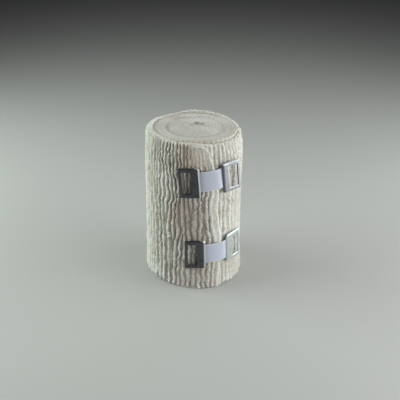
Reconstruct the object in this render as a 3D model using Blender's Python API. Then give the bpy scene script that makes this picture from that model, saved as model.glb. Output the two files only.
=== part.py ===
"""A crepe bandage roll that stands on its end, held shut by two elastic clips.

The cloth is wound with its free end outside. One solid has the wound form: a slightly oval roll with the crepe's
upright ribs, the step of the free end with its rounded top corner, the rim of the outermost wrap, the groove inside
that rim, the raised middle with a main turn's hollow, and the small eye. Each clip is a curved elastic between two
pressed metal plates, which have a window, a folded skirt, a sloped lip over the elastic and a row of short claws.

Azimuth 0 faces -Y and grows towards +X, anticlockwise from above. Lengths in the tables are in millimetres.
"""

import math

import bmesh
import bpy
from mathutils import Vector

MM = 0.001
GAP = 0.3  # clearance between pieces that touch

# The roll
HEIGHT = 100.0  # width of the cloth
FOOT_RADIUS = 32.8  # mean radius at the foot, over the ribs
TOP_RADIUS = 31.5
OVAL = 1.104  # long diameter over short diameter
OVAL_AZIMUTH = 30.4  # where the long axis lies, in degrees
LAYER = 1.1  # height of the free end's step over the turn below
EDGE_RISE = 0.5  # how much of that step stands over the roll's own outline, and the rest lies below it
RISE_FADE = 70.0  # degrees to the left of the edge over which the cloth comes back to that outline
DROP_FADE = 110.0  # and to the right of it
RIBS = 58
RIB_DEPTH = 1.05
RIB_PROFILE = (-1.0, -0.22, 0.0, -0.26)  # one rib as shares of its depth: groove, flank, crest, flank
RIB_UNEVENNESS = 0.15  # share of the depth that comes and goes round the roll
KINK = 0.6  # degrees a rib bends to each side
KINK_HEIGHT = 5.0  # height of the cloth over which a kink grows
PARALLEL_SPREAD = 22.0  # degrees from the free end over which the ribs still follow its line
FLAT_STRIP = 2.0  # degrees of nearly smooth cloth along the free end
STRIP_FADE = 7.0  # and the degrees over which the ribs come up beside it
CORNER_ARC = 0.15  # share of the turn, from the free end, that its rounded corner lies within
FOOT_INSET = 0.7  # from the lowest loop of the side to the flat face that it stands on

# The clips
PLATE_WIDTH = 12.0
PLATE_HEIGHT = 19.4
PLATE_CORNER = 0.6
WINDOW_WIDTH = 5.8
WINDOW_HEIGHT = 14.4
WINDOW_CORNER = 0.45
OUTER_BAR = 1.9  # metal between the window and the side away from the elastic
SKIRT_DEPTH = 1.3
LIP_DEPTH = 0.95  # depth of the lip's lower edge, over the elastic
CLAWS = 4
CLAW_LENGTH = 0.6
BAND_WIDTH = 13.0
BAND_THICKNESS = 0.8
BAND_CRIMP = 0.5  # thickness where the metal grips it
BAND_START = 2.6  # where the elastic ends, from the middle of a plate
BAND_STATIONS = 20
EASE = 9.0  # degrees past the free end over which the elastic comes down its step

# height, radius added on the left side, radius added on the right side
SWELL = (
    (0.0, 0.7, 0.8),
    (10.0, 0.4, 0.5),
    (45.0, 0.5, 0.4),
    (62.0, 0.5, 0.7),
    (80.0, 0.5, 1.2),
    (92.0, 0.3, 1.0),
    (100.0, -0.2, -0.1),
)
# azimuth, height of the outermost wrap's rim, height of the turns just inside the groove
RIM = (
    (-180.0, 101.6, 99.8),
    (-150.0, 99.6, 99.3),
    (-100.0, 99.8, 99.2),
    (-30.0, 99.9, 99.5),
    (0.0, 99.7, 99.8),
    (30.0, 98.6, 100.3),
    (75.0, 98.7, 100.2),
    (105.0, 100.0, 99.7),
    (150.0, 101.3, 99.8),
    (180.0, 101.6, 99.8),
)
# height, azimuth of the free end
FREE_EDGE = (
    (0.0, 27.5),
    (20.0, 29.2),
    (35.0, 30.8),
    (50.0, 27.6),
    (57.0, 25.6),
    (66.0, 27.2),
    (84.0, 21.5),
    (92.0, 18.0),
    (101.0, 17.0),
)
# height, azimuth of the curve that rounds off the free end's top corner
CORNER = (
    (86.0, 30.0),
    (91.0, 18.5),
    (95.5, 16.0),
    (98.2, 8.0),
    (99.3, -2.0),
    (100.5, -12.0),
)
# broad bulges of the wound cloth: azimuth, height, spread in azimuth, spread in height, radius added
BULGES = (
    (58.0, 78.0, 15.0, 15.0, 0.8),
)
# where a clip drags the ribs sideways: azimuth, height, spread in azimuth, spread in height, drag in degrees
DRAGS = (
    (-24.0, 66.0, 14.0, 9.0, 3.4),
    (-17.0, 37.0, 12.0, 8.0, 3.4),
    (-20.0, 51.0, 11.0, 6.0, -1.6),
)
# the side's loops: height from the foot, radius lost where the foot is rounded
SIDE = (
    (0.3, 0.4),
    (1.2, 0.0),
    (8.0, 0.0),
    (16.0, 0.0),
    (24.0, 0.0),
    (32.0, 0.0),
    (40.0, 0.0),
    (48.0, 0.0),
    (56.0, 0.0),
    (64.0, 0.0),
    (72.0, 0.0),
    (80.0, 0.0),
    (88.0, 0.0),
    (94.0, 0.0),
)
# the rim's loops, from the outside in: height over the rim, radius lost
SHOULDER = (
    (-1.3, 0.0),
    (0.0, 0.7),
    (-0.3, 1.9),
    (-1.7, 2.5),
)
# the top, from the groove to the eye: share of the radius, height over the inner turns' rim, points skipped
CROWN = (
    (1.0, 0.0, 1),
    (0.9, 0.1, 2),
    (0.74, 0.0, 1),
    (0.69, -0.5, 1),
    (0.64, 0.15, 1),
    (0.45, 0.9, 2),
    (0.25, 1.7, 1),
    (0.1, 2.2, 1),
    (0.05, 0.4, 1),
)
CROWN_INSET = 3.3  # from the crests to the outermost of those turns
CROWN_LEVEL = 99.4  # height at the middle, before the crown is added
EYE_AT = (2.6, 1.6)  # the turns' middle, off the roll's own

# a clip's name: azimuth, height, tilt and swing off the roll of its left plate, then of its right plate
CLIPS = {
    "upper": ((-4.7, 75.7, 4.3, 0.0), (42.3, 77.6, 5.6, 7.0)),
    "lower": ((1.1, 26.2, 1.4, -2.5), (48.2, 27.1, 2.6, 1.5)),
}
# a plate's section, once round its metal: outline, growth outwards, depth below the face,
# reach added on the side of the elastic, depth there, whether the claws show
SECTION = (
    ("plate", -0.35, 0.0, 0.0, 0.0, False),
    ("plate", 0.0, 0.3, 0.45, 0.15, False),
    ("plate", 0.1, SKIRT_DEPTH, 1.1, 0.65, True),
    ("plate", -0.35, SKIRT_DEPTH, 1.4, LIP_DEPTH, True),
    ("plate", -0.45, 0.45, 0.55, 0.5, False),
    ("window", 0.45, 0.45, 0.0, 0.45, False),
    ("window", 0.4, 0.95, 0.0, 0.95, False),
    ("window", 0.0, 0.95, 0.0, 0.95, False),
    ("window", 0.0, 0.25, 0.0, 0.25, False),
    ("window", 0.25, 0.0, 0.0, 0.0, False),
)

# material name: colour, roughness, metallic
FINISHES = {
    "cotton_crepe": ((0.72, 0.69, 0.60, 1.0), 0.95, 0.0),
    "white_elastic": ((0.62, 0.65, 0.74, 1.0), 0.8, 0.0),
    "clip_metal": ((0.66, 0.68, 0.70, 1.0), 0.32, 1.0),
}


def smooth(share):
    """Eases a share from 0 to 1, held outside that range."""
    share = min(1.0, max(0.0, share))
    return share * share * (3 - 2 * share)


def read(table, place, column=1):
    """A column of a table, eased between the two rows around a place in its first column."""
    if place <= table[0][0]:
        return table[0][column]
    for low, high in zip(table, table[1:]):
        if place <= high[0]:
            share = smooth((place - low[0]) / (high[0] - low[0]))
            return low[column] + (high[column] - low[column]) * share
    return table[-1][column]


def turned(azimuth):
    """An azimuth brought between -180 and 180 degrees."""
    return (azimuth + 180.0) % 360.0 - 180.0


def azimuth_of(point):
    """The azimuth of a point in space."""
    return math.degrees(math.atan2(point.x, -point.y))


def on_roll(radius, azimuth, height):
    """A point at a radius, azimuth and height, in metres."""
    angle = math.radians(azimuth)
    return Vector((radius * math.sin(angle), -radius * math.cos(angle), height)) * MM


def oval_radius(azimuth, height):
    """Radius over the ribs' crests, without the free end."""
    mean = FOOT_RADIUS + (TOP_RADIUS - FOOT_RADIUS) * height / HEIGHT
    long_half, short_half = mean * math.sqrt(OVAL), mean / math.sqrt(OVAL)
    angle = math.radians(azimuth - OVAL_AZIMUTH)
    oval = long_half * short_half / math.hypot(short_half * math.cos(angle), long_half * math.sin(angle))
    rightness = (1 + math.sin(math.radians(azimuth))) / 2
    oval += read(SWELL, height, 1) * (1 - rightness) + read(SWELL, height, 2) * rightness
    for at, level, wide, tall, added in BULGES:
        oval += added * math.exp(-((turned(azimuth - at) / wide) ** 2) - ((height - level) / tall) ** 2)
    return oval


def edge_step(turn, azimuth, height):
    """How far the cloth lies over the roll's own outline. turn runs leftwards from 0 at the free end to 1 under it."""
    rise = EDGE_RISE * (1 - smooth(turn * 360.0 / RISE_FADE))
    drop = (LAYER - EDGE_RISE) * (1 - smooth((1.0 - turn) * 360.0 / DROP_FADE))
    if turn < CORNER_ARC and height > CORNER[0][0]:
        return rise - LAYER * smooth(turned(azimuth - read(CORNER, height)) / 4.0)
    return rise - drop


def turn_at(azimuth, height):
    """Which part of the outermost turn lies at an azimuth, from 0 at the free end, leftwards, to 1."""
    return ((read(FREE_EDGE, height) - azimuth) % 360.0) / 360.0


def crest_point(azimuth, height, over=0.0):
    """A point over the ribs' crests."""
    radius = oval_radius(azimuth, height) + edge_step(turn_at(azimuth, height), azimuth, height)
    return on_roll(radius + over, azimuth, height)


def under_clip(azimuth, height):
    """1 where a clip lies over the cloth, easing to 0 around it."""
    half_plate = math.degrees(PLATE_WIDTH / 2 / FOOT_RADIUS)
    most = 0.0
    for left, right in CLIPS.values():
        share = min(1.0, max(0.0, (azimuth - left[0]) / (right[0] - left[0])))
        past_side = max(left[0] - azimuth, azimuth - right[0]) - half_plate
        past_end = abs(height - left[1] - (right[1] - left[1]) * share) - PLATE_HEIGHT / 2
        most = max(most, smooth(1 - past_side / 2.0) * smooth(1 - past_end / 1.5))
    return most


def column_azimuth(turn, height):
    """Where a column of the cloth lies at a height: upright, but bent along the free end, dragged and kinked."""
    mean_edge = FREE_EDGE[0][1]
    straight = mean_edge - 360.0 * turn
    from_edge = min(turn, 1.0 - turn) * 360.0
    bend = read(FREE_EDGE, height) - mean_edge
    azimuth = straight + bend * math.exp(-((from_edge / PARALLEL_SPREAD) ** 2))
    for at, level, wide, tall, drag in DRAGS:
        azimuth += drag * math.exp(-((turned(straight - at) / wide) ** 2) - ((height - level) / tall) ** 2)
    kink = KINK * math.sin(height / KINK_HEIGHT + 3.0 * math.sin(5 * math.tau * turn))
    return azimuth + kink * smooth(from_edge / PARALLEL_SPREAD)


def rib_depth(turn, azimuth, height):
    """Depth of the grooves: shallow along the smooth free end, at its top corner and under the clips."""
    depth = RIB_DEPTH * (1 + RIB_UNEVENNESS * (math.sin(7 * math.tau * turn + height / 9.0) - 1))
    depth *= 0.25 + 0.75 * smooth((turn * 360.0 - FLAT_STRIP) / STRIP_FADE)
    if turn < CORNER_ARC:
        depth *= 1 - 0.5 * smooth((height - CORNER[0][0]) / 6.0)
    return depth * (1 - 0.7 * under_clip(turned(azimuth), height))


def new_loop(mesh, points):
    """Adds a loop of points to a mesh."""
    return [mesh.verts.new(point) for point in points]


def bridge(mesh, outer, inner):
    """Joins two closed loops, the inner one with as many points as the outer one or half as many."""
    ratio = len(outer) // len(inner)
    for i, point in enumerate(inner):
        after = inner[(i + 1) % len(inner)]
        start, end = outer[i * ratio], outer[(i + 1) * ratio % len(outer)]
        if ratio == 1:
            mesh.faces.new((start, end, after, point))
            continue
        middle = outer[i * ratio + 1]
        mesh.faces.new((start, middle, point))
        mesh.faces.new((middle, end, after))
        mesh.faces.new((middle, after, point))


def finish(mesh, name, material, sharp_degrees):
    """Turns a mesh into a named object with its material, shaded smooth but for its sharp edges."""
    bmesh.ops.recalc_face_normals(mesh, faces=mesh.faces)
    data = bpy.data.meshes.new(name)
    mesh.to_mesh(data)
    mesh.free()
    data.shade_smooth()
    data.set_sharp_from_angle(angle=math.radians(sharp_degrees))
    data.materials.append(bpy.data.materials[material])
    piece = bpy.data.objects.new(name, data)
    bpy.context.scene.collection.objects.link(piece)
    return piece


def side_loop(mesh, level, lost, lift=None):
    """One ribbed loop round the side, or round the rim where lift gives its height over the rim."""
    columns = RIBS * len(RIB_PROFILE)
    points = []
    for column in range(columns):
        turn = column / (columns - 1)
        azimuth = column_azimuth(turn, level)
        height = level if lift is None else read(RIM, turned(azimuth)) + lift
        rib = RIB_PROFILE[column % len(RIB_PROFILE)] * rib_depth(turn, azimuth, height)
        radius = oval_radius(azimuth, height) + edge_step(turn, azimuth, height) + rib - lost
        past_edge = math.degrees(GAP / FOOT_RADIUS) if column == columns - 1 else 0.0
        points.append(on_roll(radius, azimuth + past_edge, height))
    return new_loop(mesh, reversed(points))


def crown_loop(mesh, outer, share, lift, skip):
    """One loop of the top, on the azimuths of the loop outside it, drawn towards the eye."""
    points = []
    for vertex in outer[::skip]:
        azimuth = azimuth_of(vertex.co - Vector((*EYE_AT, 0.0)) * MM * (1 - share))
        radius = (oval_radius(azimuth, HEIGHT) - CROWN_INSET) * share
        height = read(RIM, azimuth, 2) * share + CROWN_LEVEL * (1 - share) + lift
        points.append(on_roll(radius, azimuth, height) + Vector((*EYE_AT, 0.0)) * MM * (1 - share))
    return new_loop(mesh, points)


def build_roll():
    """The wound cloth as one closed solid."""
    mesh = bmesh.new()
    loops = [side_loop(mesh, level, lost) for level, lost in SIDE]
    loops += [side_loop(mesh, HEIGHT, lost, lift) for lift, lost in SHOULDER]
    for share, lift, skip in CROWN:
        loops.append(crown_loop(mesh, loops[-1], share, lift, skip))
    for outer, inner in zip(loops, loops[1:]):
        bridge(mesh, outer, inner)
    mesh.faces.new(loops[-1])
    foot_share = 1 - FOOT_INSET / FOOT_RADIUS
    foot = new_loop(mesh, ((v.co.x * foot_share, v.co.y * foot_share, 0.0) for v in loops[0][::2]))
    bridge(mesh, loops[0], foot)
    mesh.faces.new(foot)
    return finish(mesh, "bandage_roll", "cotton_crepe", 60.0)


def clip_plane(azimuth, height, tilt, swing, elastic_side):
    """A plate's frame on the roll: the middle of its face, and its directions right, up and outwards.

    Its skirt clears the ribs, and its lip clears the elastic, which leaves at elastic_side, 1 for right and -1 for left.
    """
    reach = PLATE_WIDTH / 3
    turn = math.degrees(reach / FOOT_RADIUS)
    along = (crest_point(azimuth + turn, height) - crest_point(azimuth - turn, height)).normalized()
    upwards = (crest_point(azimuth, height + reach) - crest_point(azimuth, height - reach)).normalized()
    outwards = along.cross(upwards).normalized()
    along = along * math.cos(math.radians(swing)) + outwards * math.sin(math.radians(swing))
    outwards = along.cross(upwards).normalized()
    angle = math.radians(tilt)
    right = along * math.cos(angle) + upwards * math.sin(angle)
    up = outwards.cross(right)
    middle = crest_point(azimuth, height)
    face = 0.0
    for rise in range(-10, 11):
        for across in range(-6, 8):
            aside = across * elastic_side * PLATE_WIDTH / 12
            spot = middle + (right * aside + up * rise * PLATE_HEIGHT / 20) * MM
            below = (crest_point(azimuth_of(spot), spot.z / MM) - middle).dot(outwards) / MM
            over = SKIRT_DEPTH + GAP if across < 7 else LIP_DEPTH + BAND_THICKNESS + 2 * GAP
            face = max(face, below + over)
    return middle + outwards * face * MM, right, up, outwards


def outline(width, height, corner, middle):
    """Points round a rounded rectangle: x, y, how far each faces the elastic, and 1 at a claw's tip.

    The elastic is at +x. The far side has two points for each claw, so that every loop has the same count.
    """
    points = []
    for quarter in range(4):
        for step in range(3):
            angle = math.radians(90 * quarter + 45 * step)
            side = 1 if quarter in (0, 3) else -1
            end = 1 if quarter in (0, 1) else -1
            x = middle + side * (width / 2 - corner) + corner * math.cos(angle)
            y = end * (height / 2 - corner) + corner * math.sin(angle)
            points.append((x, y, max(0.0, math.cos(angle)), 0))
        if quarter == 1:
            straight = height - 2 * corner
            spots = 2 * CLAWS + 1
            for spot in range(spots):
                y = straight / 2 - straight * (spot + 1) / (spots + 1)
                points.append((middle - width / 2, y, 0.0, spot % 2))
    return points


def build_plate(name, plane, elastic_side):
    """One pressed end of a clip. elastic_side is 1 where its elastic leaves to the right, and -1 to the left."""
    middle, right, up, outwards = plane
    window_middle = -PLATE_WIDTH / 2 + OUTER_BAR + WINDOW_WIDTH / 2
    mesh = bmesh.new()
    loops = []
    for edge, grown, depth, reach, elastic_depth, claws in SECTION:
        if edge == "plate":
            spots = outline(PLATE_WIDTH + 2 * grown, PLATE_HEIGHT + 2 * grown, PLATE_CORNER + grown, 0.0)
        else:
            size = (WINDOW_WIDTH + 2 * grown, WINDOW_HEIGHT + 2 * grown)
            spots = outline(*size, WINDOW_CORNER + grown, window_middle)
        points = []
        for x, y, facing, claw in spots:
            low = depth + (elastic_depth - depth) * facing + CLAW_LENGTH * claw * claws
            sideways = right * elastic_side * (x + reach * facing)
            points.append(middle + (sideways + up * y - outwards * low) * MM)
        loops.append(new_loop(mesh, points))
    for outer, inner in zip(loops, loops[1:] + loops[:1]):
        bridge(mesh, outer, inner)
    return finish(mesh, name, "clip_metal", 35.0)


def build_band(name, left, right, tilt):
    """The elastic of a clip: a curved strip from under one plate to under the other, thinner where it is gripped."""
    start, end = left[0] + left[1] * BAND_START * MM, right[0] - right[1] * BAND_START * MM
    grip = (PLATE_WIDTH / 2 - BAND_START) / FOOT_RADIUS
    lean = math.radians(tilt)
    section = ((-0.5, 0.25), (-0.49, 0.0), (0.0, 0.0), (0.49, 0.0), (0.5, 0.25), (0.5, 0.8), (0.48, 1.0), (0.0, 1.0))
    section += ((-0.48, 1.0), (-0.5, 0.8))
    mesh = bmesh.new()
    loops = []
    for station in range(BAND_STATIONS + 1):
        share = station / BAND_STATIONS
        azimuth = azimuth_of(start) + (azimuth_of(end) - azimuth_of(start)) * share
        height = (start.z + (end.z - start.z) * share) / MM
        from_end = math.radians(min(azimuth - azimuth_of(start), azimuth_of(end) - azimuth))
        thickness = BAND_CRIMP + (BAND_THICKNESS - BAND_CRIMP) * smooth((from_end - grip) / grip)
        points = []
        for across, through in section:
            level = height + across * BAND_WIDTH * math.cos(lean)
            place = azimuth - math.degrees(across * BAND_WIDTH * math.sin(lean) / FOOT_RADIUS)
            right_of_edge = place - read(FREE_EDGE, level)
            eased = LAYER * (1 - smooth(right_of_edge / EASE)) if 0 < right_of_edge < EASE else 0.0
            points.append(crest_point(place, level, GAP + thickness * through + eased))
        loops.append(new_loop(mesh, points))
    for outer, inner in zip(loops, loops[1:]):
        bridge(mesh, outer, inner)
    mesh.faces.new(reversed(loops[0]))
    mesh.faces.new(loops[-1])
    return finish(mesh, name, "white_elastic", 50.0)


def build_clips():
    """Both clips, each an elastic between two plates."""
    for name, (left, right) in CLIPS.items():
        planes = clip_plane(*left, 1), clip_plane(*right, -1)
        build_plate(f"{name}_clip_buckle_left", planes[0], 1)
        build_plate(f"{name}_clip_buckle_right", planes[1], -1)
        build_band(f"{name}_clip_band", *planes, (left[2] + right[2]) / 2)


def make_materials():
    """One material for each finish."""
    for name, (colour, roughness, metallic) in FINISHES.items():
        material = bpy.data.materials.new(name)
        material.use_nodes = True
        shader = material.node_tree.nodes["Principled BSDF"]
        shader.inputs["Base Color"].default_value = colour
        shader.inputs["Roughness"].default_value = roughness
        shader.inputs["Metallic"].default_value = metallic
        material.diffuse_color = colour


def main():
    """Clears the scene and builds the bandage roll and its clips."""
    for old in list(bpy.data.objects):
        bpy.data.objects.remove(old)
    make_materials()
    build_roll()
    build_clips()


main()
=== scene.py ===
"""Looks of a crepe bandage roll that stands on its end, held shut by two elastic clips.

The cloth is one sheet, wound with its free end outside. Its outermost wrap has the crepe's upright ribs,
which zigzag, merge and are dragged by the clips. The turns inside it show as fine rings at the top and foot.
Each clip is a woven elastic between two pressed metal plates.

Lengths in the tables are in millimetres. Azimuths are in degrees: 0 faces -Y and they grow towards +X.
Distances along the wound cloth are in degrees too, leftwards from its free end.
"""

from __future__ import annotations

import logging
import math
from dataclasses import dataclass
from enum import Enum

import bmesh
import bpy
import numpy as np
from mathutils import Matrix, Vector

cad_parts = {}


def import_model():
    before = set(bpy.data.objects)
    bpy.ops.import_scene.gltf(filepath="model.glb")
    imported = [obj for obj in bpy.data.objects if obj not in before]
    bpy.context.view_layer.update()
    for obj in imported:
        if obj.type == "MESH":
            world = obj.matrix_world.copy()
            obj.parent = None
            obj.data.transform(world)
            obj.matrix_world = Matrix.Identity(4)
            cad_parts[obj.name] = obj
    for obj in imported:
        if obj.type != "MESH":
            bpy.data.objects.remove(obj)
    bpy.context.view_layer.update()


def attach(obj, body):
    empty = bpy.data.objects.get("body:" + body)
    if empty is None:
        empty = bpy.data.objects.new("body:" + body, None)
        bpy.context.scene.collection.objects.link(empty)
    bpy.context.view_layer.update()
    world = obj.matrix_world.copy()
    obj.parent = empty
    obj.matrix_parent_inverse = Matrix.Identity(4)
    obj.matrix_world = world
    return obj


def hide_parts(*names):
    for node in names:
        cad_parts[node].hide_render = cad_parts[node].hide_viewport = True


MM = 0.001
FULL_TURN = 360.0

Array = np.ndarray
Colour = tuple[float, float, float]
Pair = tuple[float, float]
Row = tuple[float, ...]
Table = tuple[Row, ...]
Mesh = bpy.types.Mesh
Node = bpy.types.Node
Piece = bpy.types.Object
Tree = bpy.types.NodeTree
Material = bpy.types.Material

log = logging.getLogger("bandage")


def smooth(share: Array | float) -> Array:
    """Eases a share from 0 to 1, held outside that range."""
    held = np.clip(share, 0.0, 1.0)
    return held * held * (3 - 2 * held)


def read(table: Table, place: Array | float, column: int = 1) -> Array:
    """Reads a column of a table, eased between the rows around a place in its first column.

    Args:
        table: Rows in order of their first column.
        place: Where to read it, one place or many.
        column: The column that is read.

    Returns:
        The values there, held at the ends.
    """
    rows = np.array(table)
    spot = np.clip(np.searchsorted(rows[:, 0], place, side="right") - 1, 0, len(rows) - 2)
    share = smooth((place - rows[spot, 0]) / (rows[spot + 1, 0] - rows[spot, 0]))
    return rows[spot, column] * (1 - share) + rows[spot + 1, column] * share


def turned(azimuth: Array | float) -> Array:
    """Brings an azimuth between -180 and 180 degrees."""
    return (azimuth + 180.0) % FULL_TURN - 180.0


def hump(distance: Array | float, spread: float) -> Array:
    """A smooth hump, 1 in its middle and near 0 past twice its spread."""
    return np.exp(-((distance / spread) ** 2))


@dataclass(frozen=True)
class Unevenness:
    """Repeatable noise from -1 to 1 on a lattice of random values."""

    seed: int
    size: int = 128

    def at(self, across: Array | float, along: Array | float, kinked: bool = False) -> Array:
        """Reads the noise.

        Args:
            across: Place across the lattice, one cell a unit.
            along: Place along the lattice.
            kinked: Whether it runs straight from one lattice value to the next along it, with kinks there.

        Returns:
            The noise at each place.
        """
        lattice = np.random.default_rng(self.seed).uniform(-1, 1, (self.size, self.size))
        across, along = np.broadcast_arrays(np.asarray(across, float), np.asarray(along, float))
        column, row = np.floor(across).astype(int), np.floor(along).astype(int)
        x = smooth(across - column)
        y = along - row if kinked else smooth(along - row)
        left, right = column % self.size, (column + 1) % self.size
        low, high = row % self.size, (row + 1) % self.size
        lower = lattice[left, low] * (1 - x) + lattice[right, low] * x
        upper = lattice[left, high] * (1 - x) + lattice[right, high] * x
        return lower * (1 - y) + upper * y


@dataclass(frozen=True)
class WoundForm:
    """The roll's own outline: a slightly oval and uneven cylinder with the step of its free end."""

    height: float = 100.0
    foot_radius: float = 32.8
    top_radius: float = 31.5
    oval: float = 1.104
    oval_azimuth: float = 30.4
    edge_rise: float = 0.5
    edge_drop: float = 0.6
    rise_fade: float = 70.0
    drop_fade: float = 110.0
    # height, radius added on the left side, radius added on the right side
    swell: Table = (
        (0.0, 0.7, 0.8), (10.0, 0.4, 0.5), (45.0, 0.5, 0.4), (62.0, 0.5, 0.7),
        (80.0, 0.5, 1.2), (92.0, 0.3, 1.0), (100.0, -0.2, -0.1),
    )  # fmt: skip
    bulge: Row = (58.0, 78.0, 15.0, 15.0, 0.8)  # azimuth, height, their spreads, radius added
    # azimuth, height of the outermost wrap's rim
    rim: Table = (
        (-180.0, 101.6), (-150.0, 99.6), (-100.0, 99.8), (-30.0, 99.9), (0.0, 99.7),
        (30.0, 98.6), (75.0, 98.7), (105.0, 100.0), (150.0, 101.3), (180.0, 101.6),
    )  # fmt: skip
    # height, azimuth of the free end
    free_end: Table = (
        (0.0, 27.5), (20.0, 29.2), (35.0, 30.8), (50.0, 27.6), (57.0, 25.6),
        (66.0, 27.2), (84.0, 21.5), (92.0, 18.0), (101.0, 17.0),
    )  # fmt: skip

    @property
    def end_azimuth(self) -> float:
        """Azimuth of the free end at the foot."""
        return self.free_end[0][1]

    def oval_radius(self, azimuth: Array | float, height: Array | float) -> Array:
        """Works out the radius over the ribs' crests, without the step of the free end.

        Args:
            azimuth: Azimuths round the roll.
            height: Heights over the foot.

        Returns:
            The radius at each place.
        """
        mean = self.foot_radius + (self.top_radius - self.foot_radius) * height / self.height
        long_half, short_half = mean * math.sqrt(self.oval), mean / math.sqrt(self.oval)
        angle = np.radians(azimuth - self.oval_azimuth)
        radius = long_half * short_half / np.hypot(short_half * np.cos(angle), long_half * np.sin(angle))
        rightness = (1 + np.sin(np.radians(azimuth))) / 2
        left, right = read(self.swell, height, 1), read(self.swell, height, 2)
        at, level, wide, tall, added = self.bulge
        bulge = added * hump(turned(azimuth - at), wide) * hump(height - level, tall)
        return radius + left * (1 - rightness) + right * rightness + bulge

    def step(self, leftwards: Array | float) -> Array:
        """How far the cloth lies over the roll's outline, by its distance from the free end."""
        rise = self.edge_rise * (1 - smooth(leftwards / self.rise_fade))
        return rise - self.edge_drop * (1 - smooth((FULL_TURN - leftwards) / self.drop_fade))

    def place(self, radius: Array, azimuth: Array, height: Array) -> Array:
        """Points at radii, azimuths and heights, in metres."""
        angle = np.radians(azimuth)
        return np.stack([radius * np.sin(angle), -radius * np.cos(angle), height + 0 * radius], axis=-1) * MM

    def crest(self, azimuth: Array | float, height: Array | float) -> Array:
        """Radius over the ribs' crests, with the step of the free end."""
        leftwards = (read(self.free_end, height) - azimuth) % FULL_TURN
        return self.oval_radius(azimuth, height) + self.step(leftwards)


class Value:
    """What a node puts out. Sums, products and the like of it are Math nodes in the same tree."""

    def __init__(self, wiring: Wiring, socket: bpy.types.NodeSocket) -> None:
        """Keeps the socket and the wiring that it belongs to."""
        self.wiring, self.socket = wiring, socket

    def __add__(self, other: Value | float) -> Value:
        """The sum of both."""
        return self.wiring.math("ADD", self, other)

    def __sub__(self, other: Value | float) -> Value:
        """This value less the other."""
        return self.wiring.math("SUBTRACT", self, other)

    def __rsub__(self, other: float) -> Value:
        """A number less this value."""
        return self.wiring.math("SUBTRACT", other, self)

    def __mul__(self, other: Value | float) -> Value:
        """The product of both."""
        return self.wiring.math("MULTIPLY", self, other)

    def __truediv__(self, other: Value | float) -> Value:
        """This value divided by the other."""
        return self.wiring.math("DIVIDE", self, other)

    def __neg__(self) -> Value:
        """The same with its sign turned."""
        return self.wiring.math("MULTIPLY", self, -1.0)


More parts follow.
